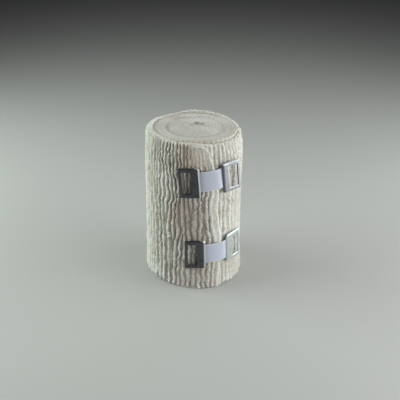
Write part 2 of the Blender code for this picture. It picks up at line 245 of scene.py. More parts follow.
class Wiring:
    """Adds nodes to one node tree and joins them, for shapes and finishes alike."""

    def __init__(self, tree: Tree) -> None:
        """Takes the tree that the nodes go into."""
        self.tree = tree

    def feed(self, target: bpy.types.NodeSocket, value: object) -> None:
        """Joins another node's output to a socket, or sets the socket's own value.

        Args:
            target: The socket.
            value: What goes into it.
        """
        if isinstance(value, Value):
            self.tree.links.new(value.socket, target)
        else:
            target.default_value = value

    def node(self, kind: str, *values: object, **named: object) -> Node:
        """Adds a node.

        Args:
            kind: The node's type.
            values: What goes into its first sockets, in order.
            named: Values of its own properties, and what goes into sockets by name. A socket's name starts
                with a capital and has _ for a blank.

        Returns:
            The new node.
        """
        node = self.tree.nodes.new(kind)
        for name, value in named.items():
            if name[0].islower():
                setattr(node, name, value)
        for socket, value in zip(node.inputs, values):
            self.feed(socket, value)
        for name, value in named.items():
            if name[0].isupper():
                self.feed(node.inputs[name.replace("_", " ")], value)
        return node

    def add(self, kind: str, *values: object, **named: object) -> Value:
        """Adds a node and gives its first output."""
        return Value(self, self.node(kind, *values, **named).outputs[0])

    def shape(self, kind: str, *values: object, **named: object) -> Value:
        """Adds a Geometry Nodes node and gives its first output."""
        return self.add(f"GeometryNode{kind}", *values, **named)

    def stored(self, name: str) -> Value:
        """A number that the shape's points store."""
        return self.shape("InputNamedAttribute", Name=name, data_type="FLOAT")

    def math(self, operation: str, *values: Value | float) -> Value:
        """The result of a Math node on the given values."""
        return self.add("ShaderNodeMath", *values, operation=operation)

    def vector(self, operation: str, *values: Value | Row, **named: Value | float) -> Value:
        """The vector result of a Vector Math node on the given values."""
        return self.add("ShaderNodeVectorMath", *values, operation=operation, **named)

    def joined(self, x: Value | float, y: Value | float = 0.0, z: Value | float = 0.0) -> Value:
        """A vector of three numbers."""
        return self.add("ShaderNodeCombineXYZ", x, y, z)

    def parts(self, vector: Value) -> list[Value]:
        """The three numbers of a vector."""
        return [Value(self, output) for output in self.node("ShaderNodeSeparateXYZ", vector).outputs]

    def noise(
        self, vector: Value, scale: Value | float, detail: float = 2.0, roughness: float = 0.5
    ) -> Value:
        """The value of a Noise Texture."""
        return self.add("ShaderNodeTexNoise", Vector=vector, Scale=scale, Detail=detail, Roughness=roughness)

    def ranged(
        self, value: Value, low: float, high: float, to_low: float = 0.0, to_high: float = 1.0
    ) -> Value:
        """A value mapped smoothly from one range to another, and held there."""
        values = (value, low, high, to_low, to_high)
        return self.add("ShaderNodeMapRange", *values, interpolation_type="SMOOTHSTEP")

    def random(self, low: float, high: float, seed: Value) -> Value:
        """Draws a random number for each point.

        Args:
            low: The least that it can be.
            high: The most that it can be.
            seed: What the draw starts from.

        Returns:
            The number.
        """
        node = self.node("FunctionNodeRandomValue", Seed=seed, data_type="FLOAT")
        node.inputs[2].default_value, node.inputs[3].default_value = low, high
        return Value(self, node.outputs[1])

    def inputs(self, **firsts: float | str) -> dict[str, Value]:
        """Gives the tree named inputs.

        Args:
            firsts: For each input its value at first, or where it has none the kind of its socket.

        Returns:
            What the inputs put out, by name.
        """
        for name, first in firsts.items():
            kind = first if isinstance(first, str) else type(first).__name__.capitalize()
            socket = self.tree.interface.new_socket(name, in_out="INPUT", socket_type=f"NodeSocket{kind}")
            if kind != first:
                socket.default_value = first
        start = self.tree.nodes.new("NodeGroupInput")
        return {name: Value(self, start.outputs[name]) for name in firsts}

    def outputs(self, **sources: Value) -> None:
        """Gives the tree named outputs.

        Args:
            sources: What goes into each of them.
        """
        for name, source in sources.items():
            self.tree.interface.new_socket(name, in_out="OUTPUT", socket_type=source.socket.bl_idname)
        self.node("NodeGroupOutput", **sources)

    def together(self, *shapes: Value) -> Value:
        """Joins several shapes.

        Args:
            shapes: The shapes.

        Returns:
            All of them as one.
        """
        node = self.node("GeometryNodeJoinGeometry")
        for shape in shapes:
            self.tree.links.new(shape.socket, node.inputs[0])
        return Value(self, node.outputs[0])

    def dressed(self, shape: Value, material: Value) -> Tree:
        """Ends the tree with its shape, in one piece and dressed.

        Args:
            shape: The finished shape.
            material: Its material.

        Returns:
            The tree.
        """
        real = self.shape("RealizeInstances", shape)
        self.outputs(Geometry=self.shape("SetMaterial", Geometry=real, Material=material))
        return self.tree


def shape_tree(name: str, **firsts: float | str) -> tuple[Wiring, dict[str, Value]]:
    """Starts a Geometry Nodes tree.

    Args:
        name: The tree's name.
        firsts: Its inputs besides the geometry, as Wiring.inputs takes them.

    Returns:
        The wiring of the tree, and what its inputs put out, by name.
    """
    wiring = Wiring(bpy.data.node_groups.new(name, "GeometryNodeTree"))
    return wiring, wiring.inputs(Geometry="Geometry", **firsts)


def link_piece(name: str, data: bpy.types.ID) -> Piece:
    """Puts a mesh, a light or a camera into the scene.

    Args:
        name: The name that it gets.
        data: The mesh, light or camera.

    Returns:
        Its object.
    """
    piece = bpy.data.objects.new(name, data)
    bpy.context.scene.collection.objects.link(piece)
    return piece


def settle(piece: Piece) -> None:
    """Turns a piece's modifiers into its plain mesh and removes them.

    Args:
        piece: The piece.
    """
    bpy.context.view_layer.update()
    seen = piece.evaluated_get(bpy.context.evaluated_depsgraph_get())
    mesh = bpy.data.meshes.new_from_object(seen)
    piece.modifiers.clear()
    piece.data = mesh
    mesh.name = piece.name


def face_outwards(mesh: Mesh) -> None:
    """Turns the faces of a closed mesh outwards and shades them smooth.

    Args:
        mesh: The mesh.
    """
    work = bmesh.new()
    work.from_mesh(mesh)
    bmesh.ops.recalc_face_normals(work, faces=work.faces)
    work.to_mesh(mesh)
    work.free()
    mesh.shade_smooth()


def grown_piece(mesh: Mesh, tree: Tree, **values: object) -> Piece:
    """Makes a piece with a Geometry Nodes tree, and keeps the result as its own plain mesh.

    Args:
        mesh: What the tree starts from. The piece gets its name.
        tree: The tree.
        values: Values for the tree's inputs, by name.

    Returns:
        The piece.
    """
    piece = link_piece(mesh.name, mesh)
    modifier = piece.modifiers.new(tree.name, "NODES")
    modifier.node_group = tree
    for socket in tree.interface.items_tree:
        if socket.in_out == "INPUT" and socket.name in values:
            modifier[socket.identifier] = values[socket.name]
    settle(piece)
    face_outwards(piece.data)
    return piece


def store(mesh: Mesh, name: str, values: Array, domain: str = "POINT") -> None:
    """Stores numbers or vectors on a mesh.

    Args:
        mesh: The mesh.
        name: The name that they are stored under.
        values: One number or one vector for each point or face.
        domain: Whether they are for points or for faces.
    """
    kind, part = ("FLOAT", "value") if values.ndim == 1 else ("FLOAT_VECTOR", "vector")
    mesh.attributes.new(name, kind, domain).data.foreach_set(part, np.ascontiguousarray(values).ravel())


@dataclass
class InnerTurns:
    """All turns inside the outermost wrap: one long strip wound leftwards to the eye."""

    turns: float = 20.5
    columns: int = 3100
    mean_radius: float = 27.45
    oval: float = 1.118
    oval_azimuth: float = 30.4
    start_azimuth: float = -16.5
    eye_share: float = 0.035  # radius of the innermost turn as a share of the outermost's
    eye_at: Pair = (1.7, 1.6)
    shift: float = 1.4  # how far right the outer turns lie of the roll's own axis
    thickness: float = 1.1
    edge_radius: float = 0.42
    edge_points: int = 2
    height: float = 100.0
    flare: float = 0.075  # how much wider the turns are at the foot
    unround: Pair = (0.045, 0.3)  # noise's scale along the strip, and how far it moves it in or out
    rib_wave: float = 0.11
    rib_pitch: float = 3.2
    rib_drift: Pair = (0.15, 6.0)  # noise's scale along the strip, and how far it moves the ribs, in radians
    first_turn_wave: float = 1.9  # how much bolder the ribs of the outermost turn are
    first_turn: Pair = (0.945, 0.97)  # shares of the radius between which they become so
    outer_level: float = 99.7
    outer_tilt: float = 0.5
    outer_tilt_azimuth: float = 50.0
    middle_level: float = 99.4
    raggedness: float = 0.5
    ragged: Table = ((0.05, 2.0), (0.6, 0.8))  # the top edge's noises: scale along the strip, strength
    ragged_foot: Pair = (0.08, 0.5)  # the foot's noise: scale along the strip, height
    # share of the radius, height over the plain slope between the rim's level and the middle's
    crown: Table = (
        (0.0, -1.5), (0.055, 0.4), (0.1, 2.2), (0.25, 1.7), (0.45, 0.9), (0.6, 0.25),
        (0.66, -0.3), (0.7, -0.3), (0.76, 0.05), (0.9, 0.1), (1.0, 0.0),
    )  # fmt: skip

    @property
    def length(self) -> float:
        """Length of the strip, in millimetres."""
        return math.tau * (self.mean_radius * (1 + self.eye_share) / 2) * self.turns

    def outer_radius(self, wound: Array, azimuth: Array, height: Array) -> Array:
        """Works out the radius of the strip's outer face.

        Args:
            wound: Degrees that the strip is wound from its start.
            azimuth: Azimuths there.
            height: Heights over the foot.

        Returns:
            The radius at each place.
        """
        share = 1 - wound / FULL_TURN / self.turns * (1 - self.eye_share)
        off_axis = np.radians(azimuth - self.oval_azimuth)
        stretch = math.sqrt(self.oval)
        squeezed = np.hypot(np.sin(off_axis) * stretch, np.cos(off_axis) / stretch)
        wider = 1 + self.flare * (1 - height / self.height)
        aside = self.shift * np.sin(np.radians(azimuth))
        return (self.mean_radius * share / squeezed + aside) * wider + self.thickness / 2

    def crown_lift(self, wiring: Wiring, share: Value) -> Value:
        """Reads the crown's table.

        Args:
            wiring: The tree's wiring.
            share: Share of the radius.

        Returns:
            The crown's height there.
        """
        lowest = min(lift for _, lift in self.crown)
        spread = max(lift for _, lift in self.crown) - lowest
        node = wiring.node("ShaderNodeFloatCurve", Value=share)
        curve = node.mapping.curves[0]
        while len(curve.points) < len(self.crown):
            curve.points.new(0.5, 0.5)
        for point, (place, lift) in zip(curve.points, self.crown):
            point.location = (place, (lift - lowest) / spread)
            point.handle_type = "VECTOR"
        node.mapping.update()
        return Value(wiring, node.outputs[0]) * (spread * MM) + lowest * MM

    def spiral(self, wiring: Wiring, inputs: dict[str, Value]) -> Value:
        """Lays the strip's middle line.

        Args:
            wiring: The tree's wiring.
            inputs: What the tree's inputs put out, by name.

        Returns:
            A line of points that store where they lie on the strip.
        """
        calc, eye = wiring.math, inputs["Eye"]
        run = wiring.shape("InputIndex") / (inputs["Columns"] - 1)
        share = calc("SQRT", 1 - run * (1 - eye * eye))
        wound = (1 - share) / (1 - eye)
        angle = math.radians(self.start_azimuth) - wound * (inputs["Turns"] * math.tau)
        off_axis = angle - math.radians(self.oval_azimuth)
        stretch = calc("SQRT", inputs["Oval"])
        across, along = calc("SINE", off_axis) * stretch, calc("COSINE", off_axis) / stretch
        squeezed = calc("SQRT", across * across + along * along)
        path = wiring.joined(run * self.length)
        scale, drift = self.rib_drift
        ribs = run * (math.tau * self.length / self.rib_pitch) + wiring.noise(path, scale) * drift
        ribs = calc("SINE", ribs)
        scale, unround = self.unround
        unround = (wiring.noise(path, scale) - 0.5) * (unround * MM)
        bolder = wiring.ranged(share, *self.first_turn, 1.0, self.first_turn_wave)
        wave = (ribs - 1) * (inputs["Wave"] * bolder)
        aside = calc("SINE", angle) * (share * (self.shift * MM))
        radius = inputs["Radius"] * share / squeezed + aside + (wave + unround)
        spots = wiring.joined(radius * calc("SINE", angle), -(radius * calc("COSINE", angle)))
        middle = wiring.joined(*(place * MM for place in self.eye_at))
        spots = wiring.vector("ADD", spots, wiring.vector("SCALE", middle, Scale=1 - share))
        line = wiring.shape("SetPosition", wiring.shape("MeshLine", Count=inputs["Columns"]), Position=spots)
        for name, value in {"share": share, "run": run, "angle": angle, "ribs": ribs}.items():
            line = wiring.shape("StoreNamedAttribute", line, Name=name, Value=value, data_type="FLOAT")
        return line

    def risen(self, wiring: Wiring, inputs: dict[str, Value]) -> Value:
        """Places the strip's points: from the foot up to their turn's own edge, wider towards the foot.

        Args:
            wiring: The tree's wiring.
            inputs: What the tree's inputs put out, by name.

        Returns:
            Where each point goes.
        """
        share, run, angle = (wiring.stored(name) for name in ("share", "run", "angle"))
        tilt = wiring.math("COSINE", angle - math.radians(self.outer_tilt_azimuth))
        outer = tilt * (self.outer_tilt * MM) + (self.outer_level - self.middle_level) * MM
        edge = outer * share + self.middle_level * MM + self.crown_lift(wiring, share)
        path = wiring.joined(run * self.length)
        slow, fast = ((wiring.noise(path, scale) - 0.5) * strength for scale, strength in self.ragged)
        scale, foot = self.ragged_foot
        lowest = wiring.noise(path, scale) * (foot * MM)
        x, y, z = wiring.parts(wiring.shape("InputPosition"))
        rise = z / inputs["Height"] + 0.5
        top = edge + (slow + fast) * inputs["Raggedness"]
        wider = (1 - rise) * inputs["Flare"] + 1
        return wiring.joined(x * wider, y * wider, rise * (top - lowest) + lowest)

    def tree(self) -> Tree:
        """Wires the tree that lays the strip's middle line, stands the cloth on it and shapes its top.

        Returns:
            The tree.
        """
        numbers = ("Turns", "Radius", "Oval", "Eye", "Thickness", "Height", "Flare", "Wave", "Raggedness")
        wiring, inputs = shape_tree("wound_turns", Columns=2, **dict.fromkeys(numbers, 1.0), Cloth="Material")
        curve = wiring.shape("MeshToCurve", self.spiral(wiring, inputs))
        curve = wiring.shape("SetCurveNormal", curve, mode="Z_UP")
        section = wiring.shape(
            "CurvePrimitiveQuadrilateral", Width=inputs["Thickness"], Height=inputs["Height"]
        )
        rounding = {"Count": self.edge_points, "Radius": self.edge_radius * MM, "Limit_Radius": True}
        section = wiring.shape("FilletCurve", section, **rounding, mode="POLY")
        cloth = wiring.shape("CurveToMesh", curve, section, Fill_Caps=True)
        cloth = wiring.shape("SetPosition", cloth, Position=self.risen(wiring, inputs))
        return wiring.dressed(cloth, inputs["Cloth"])

    def build(self, cloth: Material) -> Piece:
        """Builds the strip.

        Args:
            cloth: The material that it is dressed in.

        Returns:
            The piece.
        """
        return grown_piece(
            bpy.data.meshes.new("inner_turns"),
            self.tree(),
            Columns=self.columns,
            Turns=self.turns,
            Radius=self.mean_radius * MM,
            Oval=self.oval,
            Eye=self.eye_share,
            Thickness=self.thickness * MM,
            Height=self.height * MM,
            Flare=self.flare,
            Wave=self.rib_wave * MM,
            Raggedness=self.raggedness * MM,
            Cloth=cloth,
        )


@dataclass(frozen=True)
class Ring:
    """One row of points round the outermost wrap."""

    level: float  # height at which the ribs' course is read
    height: Array  # height of each column's point
    inset: float  # share of the cloth's thickness that it lies inwards
    relief: float  # share of the ribs' relief that shows outwards
    dip: float  # share of it that shows downwards
    stride: int  # columns from one point to the next


@dataclass
class OuterWrap:
    """The outermost wrap: from the free end leftwards, once round the roll and on under itself."""

    form: WoundForm
    turns: InnerTurns
    ribs_per_turn: int = 72
    ribs_tucked: int = 9
    columns_per_rib: int = 7
    side_rows: int = 150
    inner_rows: int = 20
    sway: Unevenness = Unevenness(11)
    zigzag: Unevenness = Unevenness(23)
    lumps: Unevenness = Unevenness(37)

    jitter: float = 0.45  # how far grooves stray along the cloth, in degrees
    jitter_height: float = 8.0  # height of the cloth over which they do
    merge_reach: float = 4.0  # ribs that move over where one is squeezed out
    merge_height: float = 12.0
    merge_draw: float = 0.42  # how far each side closes over it, as a share of its width
    merge_depth: float = 0.75  # how far its crest sinks
    rib_depth: float = 1.7
    roundness: float = 1.3  # the ribs' section is a sine to this power
    lean: Pair = (0.11, 4.2)  # crests' lean aside as a share of a rib, and the height over which it changes
    sunk: Table = ((0.2, 2.3, 0.0), (0.14, 1.1, 70.0))  # crests' unevenness: share, height, lattice's start
    shallow: Pair = (0.2, 3.3)  # the grooves' unevenness: share, height
    # kinks of the ribs: degrees, lattice cells to a rib, height of a cell, the lattice's start
    kinks: Table = ((0.85, 1 / 3.2, 3.3, 0.0), (0.9, 1 / 1.4, 2.1, 60.0), (0.8, 1.4, 1.2, 90.0))
    kink_fade: Pair = (1.0, 16.0)  # degrees from the free end where the kinks begin, and over which they grow
    follow: float = 22.0  # degrees from the free end over which the ribs follow its line

    hem: float = 0.22  # how much the cloth's edge stands out
    hem_line: Pair = (1.0, 0.9)  # distance of that from the edge, and its spread
    edge_mark: Pair = (1.2, 1.8)  # the same for its paler colour
    end_crest: Pair = (1.0, 2.6)  # degrees from the free end up to which the cloth is flat, and the fade
    strip_relief: float = 0.3  # share of the grooves' depth on the smooth strip
    strip_fade: float = 5.0
    tuck: float = 0.8  # how much lower the cloth lies once it is under its own free end
    tuck_fade: Pair = (1.5, 5.0)  # height and degrees over which it gets there
    tuck_flat: float = 0.5  # share of the grooves' depth that is pressed out there
    end_thickness: float = 0.95
    flap_thickness: float = 1.45
    flap_fade: float = 8.0
    nested_before: float = 1.0  # degrees before the overlap's end where it starts to rest on the turns
    clearance: float = 0.06  # from the turns inside
    # distance from the free end, width of a rib, depth of its grooves as a share
    ribs: Table = (
        (0.0, 3.3, 0.8), (25.0, 3.2, 1.05), (45.0, 3.1, 1.15), (75.0, 3.4, 1.05), (100.0, 3.7, 0.88),
        (140.0, 3.6, 0.88), (200.0, 3.5, 0.9), (290.0, 3.5, 0.85), (330.0, 3.6, 0.75), (360.0, 3.6, 0.7),
    )  # fmt: skip
    # rib that is squeezed out between its neighbours, and the heights between which it is
    pinches: Table = (
        (2, 78.0, 120.0), (3, 36.0, 70.0), (6, -20.0, 62.0), (9, 30.0, 86.0), (11, -20.0, 40.0),
        (13, -20.0, 56.0), (16, -20.0, 71.0), (18, 48.0, 96.0), (20, -20.0, 78.0), (24, 20.0, 66.0),
        (28, -20.0, 74.0), (32, -20.0, 58.0), (35, 40.0, 88.0), (39, -20.0, 70.0), (44, 18.0, 80.0),
        (48, -20.0, 64.0), (53, -20.0, 75.0), (57, 30.0, 72.0), (60, -20.0, 82.0), (63, 10.0, 66.0),
        (66, -20.0, 84.0), (69, 30.0, 86.0),
    )  # fmt: skip
    # azimuth, height, spread in azimuth, spreads above and below, drag in degrees, twist in degrees
    drags: Table = (
        (-27.0, 68.0, 12.0, 12.0, 17.0, 2.9, 0.0),
        (-17.0, 37.0, 12.0, 10.0, 9.0, 1.8, 0.0),
        (-20.0, 52.0, 11.0, 6.0, 6.0, -0.8, 0.0),
        (-17.0, 22.0, 9.0, 12.0, 12.0, 0.0, 1.0),
        (46.0, 90.0, 15.0, 9.0, 9.0, 0.0, -3.0),
    )
    # height, width of the nearly smooth strip along the free end
    strip: Table = ((0.0, 1.5), (30.0, 3.0), (44.0, 6.5), (70.0, 6.5), (86.0, 4.0))
    # distance from the free end, height of the cloth's top edge where its corner is rounded off
    corner: Table = (
        (0.0, 91.0), (0.5, 93.6), (1.3, 95.4), (2.4, 96.6), (5.2, 97.9),
        (8.7, 98.8), (14.2, 99.3), (20.0, 99.6), (29.0, 100.0),
    )  # fmt: skip
    corner_fade: Row = (19.0, 9.0, 4.0)  # where the hem leaves the rim: degrees, fade, distance added
    clip_plates: Table = ((-4.7, 75.7), (42.3, 77.6), (1.1, 26.2), (48.2, 27.1))
    pucker: float = 0.05  # how much deeper the grooves are under the plates
    plate_reach: Row = (9.0, 3.0, 8.0, 2.0)  # degrees from a plate's middle and fade, height and fade
    smooth_patch: Row = (5.0, 92.0, 9.0, 9.0)  # azimuth, height and their spreads
    patch_flat: float = 0.75  # share of the grooves' depth that is gone there
    crease: Row = (-32.0, 95.0, -16.0, 65.5)  # azimuth and height of its upper and its lower end
    crease_fold: Table = ((0.3, 1.3, 1.0), (-0.12, 0.0, 0.6))  # height, place leftwards, spread
    crease_ends: Table = ((2.0, 4.0), (3.0, 5.0))  # past its lower and its upper end: reach, fade
    # rounded top edge: share of the thickness inwards, height over the edge, outward and downward relief,
    # columns from one point to the next
    rim_section: Table = (
        (0.0, -1.5, 1.0, 0.0, 1),
        (0.09, -0.75, 0.95, 0.15, 1),
        (0.27, -0.22, 0.75, 0.4, 1),
        (0.5, 0.0, 0.45, 0.5, 1),
        (0.8, -0.05, 0.2, 0.35, 2),
        (0.97, -0.2, 0.05, 0.1, 4),
    )
    # rounded foot, from inside outwards: share of the thickness inwards, height, outward and upward relief,
    # columns from one point to the next
    foot_section: Table = (
        (0.9, 0.35, 0.0, 0.0, 4),
        (0.7, 0.0, 0.3, 0.1, 2),
        (0.42, 0.0, 0.7, 0.45, 1),
        (0.17, 0.1, 1.0, 0.75, 1),
        (0.03, 0.5, 1.15, 0.9, 1),
    )
    side_start: float = 1.2  # height of the side's lowest row
    side_end: float = 2.4  # depth of its highest row under the rim
    inner_end: float = 0.7  # the same on the inner face
    inner_stride: int = 4
    rim_course: float = 3.0  # depth under the roll's top at which the rim reads the ribs' course
    rim_ragged: Row = (0.22, 2.0, 5.0)  # height, ribs to a lattice cell, the lattice's row
    foot_fade: float = 16.0  # height up to which the grooves are shallower
    foot_shallow: float = 0.2  # how much shallower
    foot_notch: float = 4.0  # height up to which the grooves still rise over the ribs' ends
    notch_relief: Pair = (0.15, 0.9)  # relief added outwards and upwards there
    foot_ease: float = 0.65  # how much flatter the free end lies at the foot

    @property
    def rib_count(self) -> int:
        """All ribs, with those under the free end."""
        return self.ribs_per_turn + self.ribs_tucked

    @property
    def tucked_degrees(self) -> float:
        """How far the cloth runs on under its own free end."""
        return math.degrees(math.tau * self.ribs_tucked / self.ribs_per_turn)

    @property
    def length(self) -> float:
        """Length of the cloth in this piece, relaxed, in millimetres."""
        mean = (self.form.foot_radius + self.form.top_radius) / 2
        return math.tau * mean * self.rib_count / self.ribs_per_turn

    def pinched(self, rib: Array, level: Array | float) -> Array:
        """Works out how far ribs are squeezed out.

        Args:
            rib: Numbers of the ribs.
            level: Height of the cloth.

        Returns:
            For each rib a share from 0 to 1.
        """
        squeeze = np.zeros(np.broadcast(rib, level).shape)
        for pinched_rib, low, high in self.pinches:
            share = smooth((level - low) / self.merge_height) * smooth((high - level) / self.merge_height)
            squeeze = np.maximum(squeeze, np.where(rib == pinched_rib, share, 0.0))
        return squeeze

    def grooves(self, level: float) -> Array:
        """Works out where the grooves between the ribs lie.

        Args:
            level: Height of the cloth.

        Returns:
            Their distances from the free end.
        """
        rib = np.arange(self.rib_count)
        width = read(self.ribs, (rib + 0.5) * FULL_TURN / self.ribs_per_turn)
        grooves = np.concatenate([[0.0], np.cumsum(width)])
        grooves = grooves * FULL_TURN / grooves[self.ribs_per_turn]
        squeeze = self.pinched(rib, level)
        groove = np.arange(self.rib_count + 1)
        shift = self.jitter * self.sway.at(groove, level / self.jitter_height)
        for pinched_rib, _, _ in self.pinches:
            width = grooves[pinched_rib + 1] - grooves[pinched_rib]
            drawn = self.merge_draw * squeeze[pinched_rib] * width
            past = groove - pinched_rib
            before = np.clip(1 + past / self.merge_reach, 0.0, 1.0) * (past <= 0)
            after = np.clip(1 - (past - 1) / self.merge_reach, 0.0, 1.0) * (past > 0)
            shift = shift + drawn * (before - after)
        shift[0] = 0.0
        return grooves + shift

    def course(self, level: float, height: Array, stride: int) -> tuple[Array, Array, Array, Array]:
        """Works out where the columns of the cloth lie at a height.

        Args:
            level: Height at which the ribs' course is read.
            height: Height of each column's point.
            stride: Columns from one point to the next.

        Returns:
            For each column its place in ribs, distance from the free end, azimuth, and share across its rib.
        """
        column = np.arange(0, self.rib_count * self.columns_per_rib + 1, stride)
        across = column / self.columns_per_rib
        rib = np.minimum(column // self.columns_per_rib, self.rib_count - 1)
        share = across - rib
        lean, lean_height = self.lean
        skewed = share + lean * self.lumps.at(rib, level / lean_height) * np.sin(math.pi * share)
        grooves = self.grooves(level)
        leftwards = grooves[rib] * (1 - skewed) + grooves[rib + 1] * skewed
        straight = self.form.end_azimuth - leftwards
        from_end = np.minimum(leftwards, np.abs(FULL_TURN - leftwards))
        bend = (read(self.form.free_end, height) - self.form.end_azimuth) * (leftwards < FULL_TURN / 2)
        kinks = sum(
            size * self.zigzag.at(across * cells + start, level / tall, kinked=True)
            for size, cells, tall, start in self.kinks
        )
        begin, fade = self.kink_fade
        azimuth = straight + bend * hump(from_end, self.follow) + kinks * smooth((from_end - begin) / fade)
        for at, place, wide, above, below, drag, twist in self.drags:
            rise = (height - place) / np.where(height > place, above, below)
            azimuth = azimuth + (drag + twist * rise) * hump(turned(straight - at), wide) * hump(rise, 1.0)
        return across, leftwards, azimuth, share

    def ribbed(self, leftwards: Array, azimuth: Array, height: Array) -> Array:
        """Works out how ribbed the cloth is: less along the free end and in its smooth patch.

        Args:
            leftwards: Distances from the free end.
            azimuth: Azimuths there.
            height: Heights over the foot.

        Returns:
            The share of the grooves' depth that is left.
        """
        at, level, wide, tall = self.smooth_patch
        patch = hump(turned(azimuth - at), wide) * hump(height - level, tall) * (leftwards < FULL_TURN / 2)
        past_strip = smooth((leftwards - read(self.strip, height)) / self.strip_fade)
        return (self.strip_relief + (1 - self.strip_relief) * past_strip) * (1 - self.patch_flat * patch)

    def depth(self, leftwards: Array, azimuth: Array, height: Array) -> Array:
        """Works out the depth of the grooves: shallower where the cloth is smooth and at the foot.

        Args:
            leftwards: Distances from the free end.
            azimuth: Azimuths there.
            height: Heights over the foot.

        Returns:
            The depth at each place.
        """
        depth = self.rib_depth * read(self.ribs, np.minimum(leftwards, FULL_TURN), 2)
        foot = 1 - self.foot_shallow * (1 - smooth(height / self.foot_fade))
        depth = depth * foot * self.ribbed(leftwards, azimuth, height)
        wide, wide_fade, tall, tall_fade = self.plate_reach
        for at, level in self.clip_plates:
            aside = smooth(1 - (np.abs(turned(azimuth - at)) - wide) / wide_fade)
            along = smooth(1 - (np.abs(height - level) - tall) / tall_fade)
            depth = depth * (1 + self.pucker * aside * along)
        return depth

    def creased(self, azimuth: Array, height: Array) -> Array:
        """Works out the slanting fold that the upper clip pulls into the cloth.

        Args:
            azimuth: Azimuths round the roll.
            height: Heights over the foot.

        Returns:
            Its height over the cloth.
        """
        upper, top, lower, bottom = self.crease
        along = np.clip((top - height) / (top - bottom), 0.0, 1.0)
        aside = turned(azimuth - upper - (lower - upper) * along) * math.radians(self.form.top_radius)
        (below, below_fade), (above, above_fade) = self.crease_ends
        ends = smooth((height - bottom + below) / below_fade) * smooth((top + above - height) / above_fade)
        return sum(rise * hump(aside + place, spread) for rise, place, spread in self.crease_fold) * ends

    def from_edge(self, leftwards: Array, height: Array) -> Array:
        """Works out how far places lie from the cloth's free end or from its rounded corner.

        Args:
            leftwards: Distances from the free end, in degrees.
            height: Heights over the foot.

        Returns:
            The distances in millimetres.
        """
        aside = leftwards * math.radians(self.form.top_radius)
        start, fade, added = self.corner_fade
        under = np.maximum(read(self.corner, leftwards) - height, 0.0)
        under = under + added * smooth((leftwards - start) / fade)
        return np.where(leftwards < self.corner[-1][0], np.minimum(aside, under), aside)

    def inner_radius(self, outer: Array, leftwards: Array, azimuth: Array, height: Array) -> Array:
        """Works out the cloth's inner face: near the turns inside, or close under the crests at the free end.

        Args:
            outer: Radius over the crests.
            leftwards: Distances from the free end.
            azimuth: Azimuths there.
            height: Heights over the foot.

        Returns:
            Its radius at each place.
        """
        thicker = (self.flap_thickness - self.end_thickness) * smooth(leftwards / self.flap_fade)
        past_end = leftwards - self.tucked_degrees
        nested = self.turns.outer_radius(past_end, azimuth, height) + self.clearance
        thick = smooth((past_end + self.nested_before) / self.flap_fade)
        return (outer - (self.end_thickness + thicker)) * (1 - thick) + nested * thick

    def top_edge(self) -> Array:
        """Works out the height of the top edge.

        Returns:
            The height at each column.
        """
        level = self.form.height - self.rim_course
        flat = np.full(self.rib_count * self.columns_per_rib + 1, level)
        across, leftwards, azimuth, _ = self.course(level, flat, 1)
        ragged, ribs, row = self.rim_ragged
        edge = read(self.form.rim, turned(azimuth)) + ragged * self.lumps.at(across / ribs, row)
        cut = np.minimum(edge, read(self.corner, leftwards))
        return np.where(leftwards < self.corner[-1][0], cut, edge)

    def foot_ring(self, flat: Array, row: int, rise: float = 1.0) -> Ring:
        """Makes a row of the rounded foot.

        Args:
            flat: A zero for each column.
            row: Which row of the foot's section it is.
            rise: Share of the section's upward relief that it has.

        Returns:
            The row.
        """
        inset, height, relief, up, stride = self.foot_section[row]
        return Ring(height, flat[::stride] + height, inset, relief, -up * rise, stride)

    def rings(self) -> list[Ring]:
        """Lays out all rows of points, once round the cloth's section.

        Returns:
            The rows, from the foot up the outer face, over the rim and down the inner face.
        """
        top, stride = self.top_edge(), self.inner_stride
        first, last = self.side_start, -self.side_end
        outwards, upwards = self.notch_relief
        flat = np.zeros_like(top)
        rings = [self.foot_ring(flat, row) for row in (2, 3, 4)]
        for share in np.linspace(0.0, 1.0, self.side_rows):
            height = first + (top + last - first) * share
            level = first + (self.form.height + last - first) * share
            notch = 1 - smooth((level - first) / self.foot_notch)
            rings.append(Ring(level, height, 0.0, 1 + outwards * notch, -upwards * notch, 1))
        level = self.form.height + last
        for inset, over, relief, dip, step in self.rim_section:
            rings.append(Ring(level, top[::step] + over, inset, relief, dip, step))
        for share in np.linspace(1.0, 0.0, self.inner_rows):
            height = first + (top[::stride] - self.inner_end - first) * share
            rings.append(Ring(first + (level - first) * share, height, 1.0, 0.0, 0.0, stride))
        return rings + [self.foot_ring(flat, row, 0.0) for row in (0, 1)]

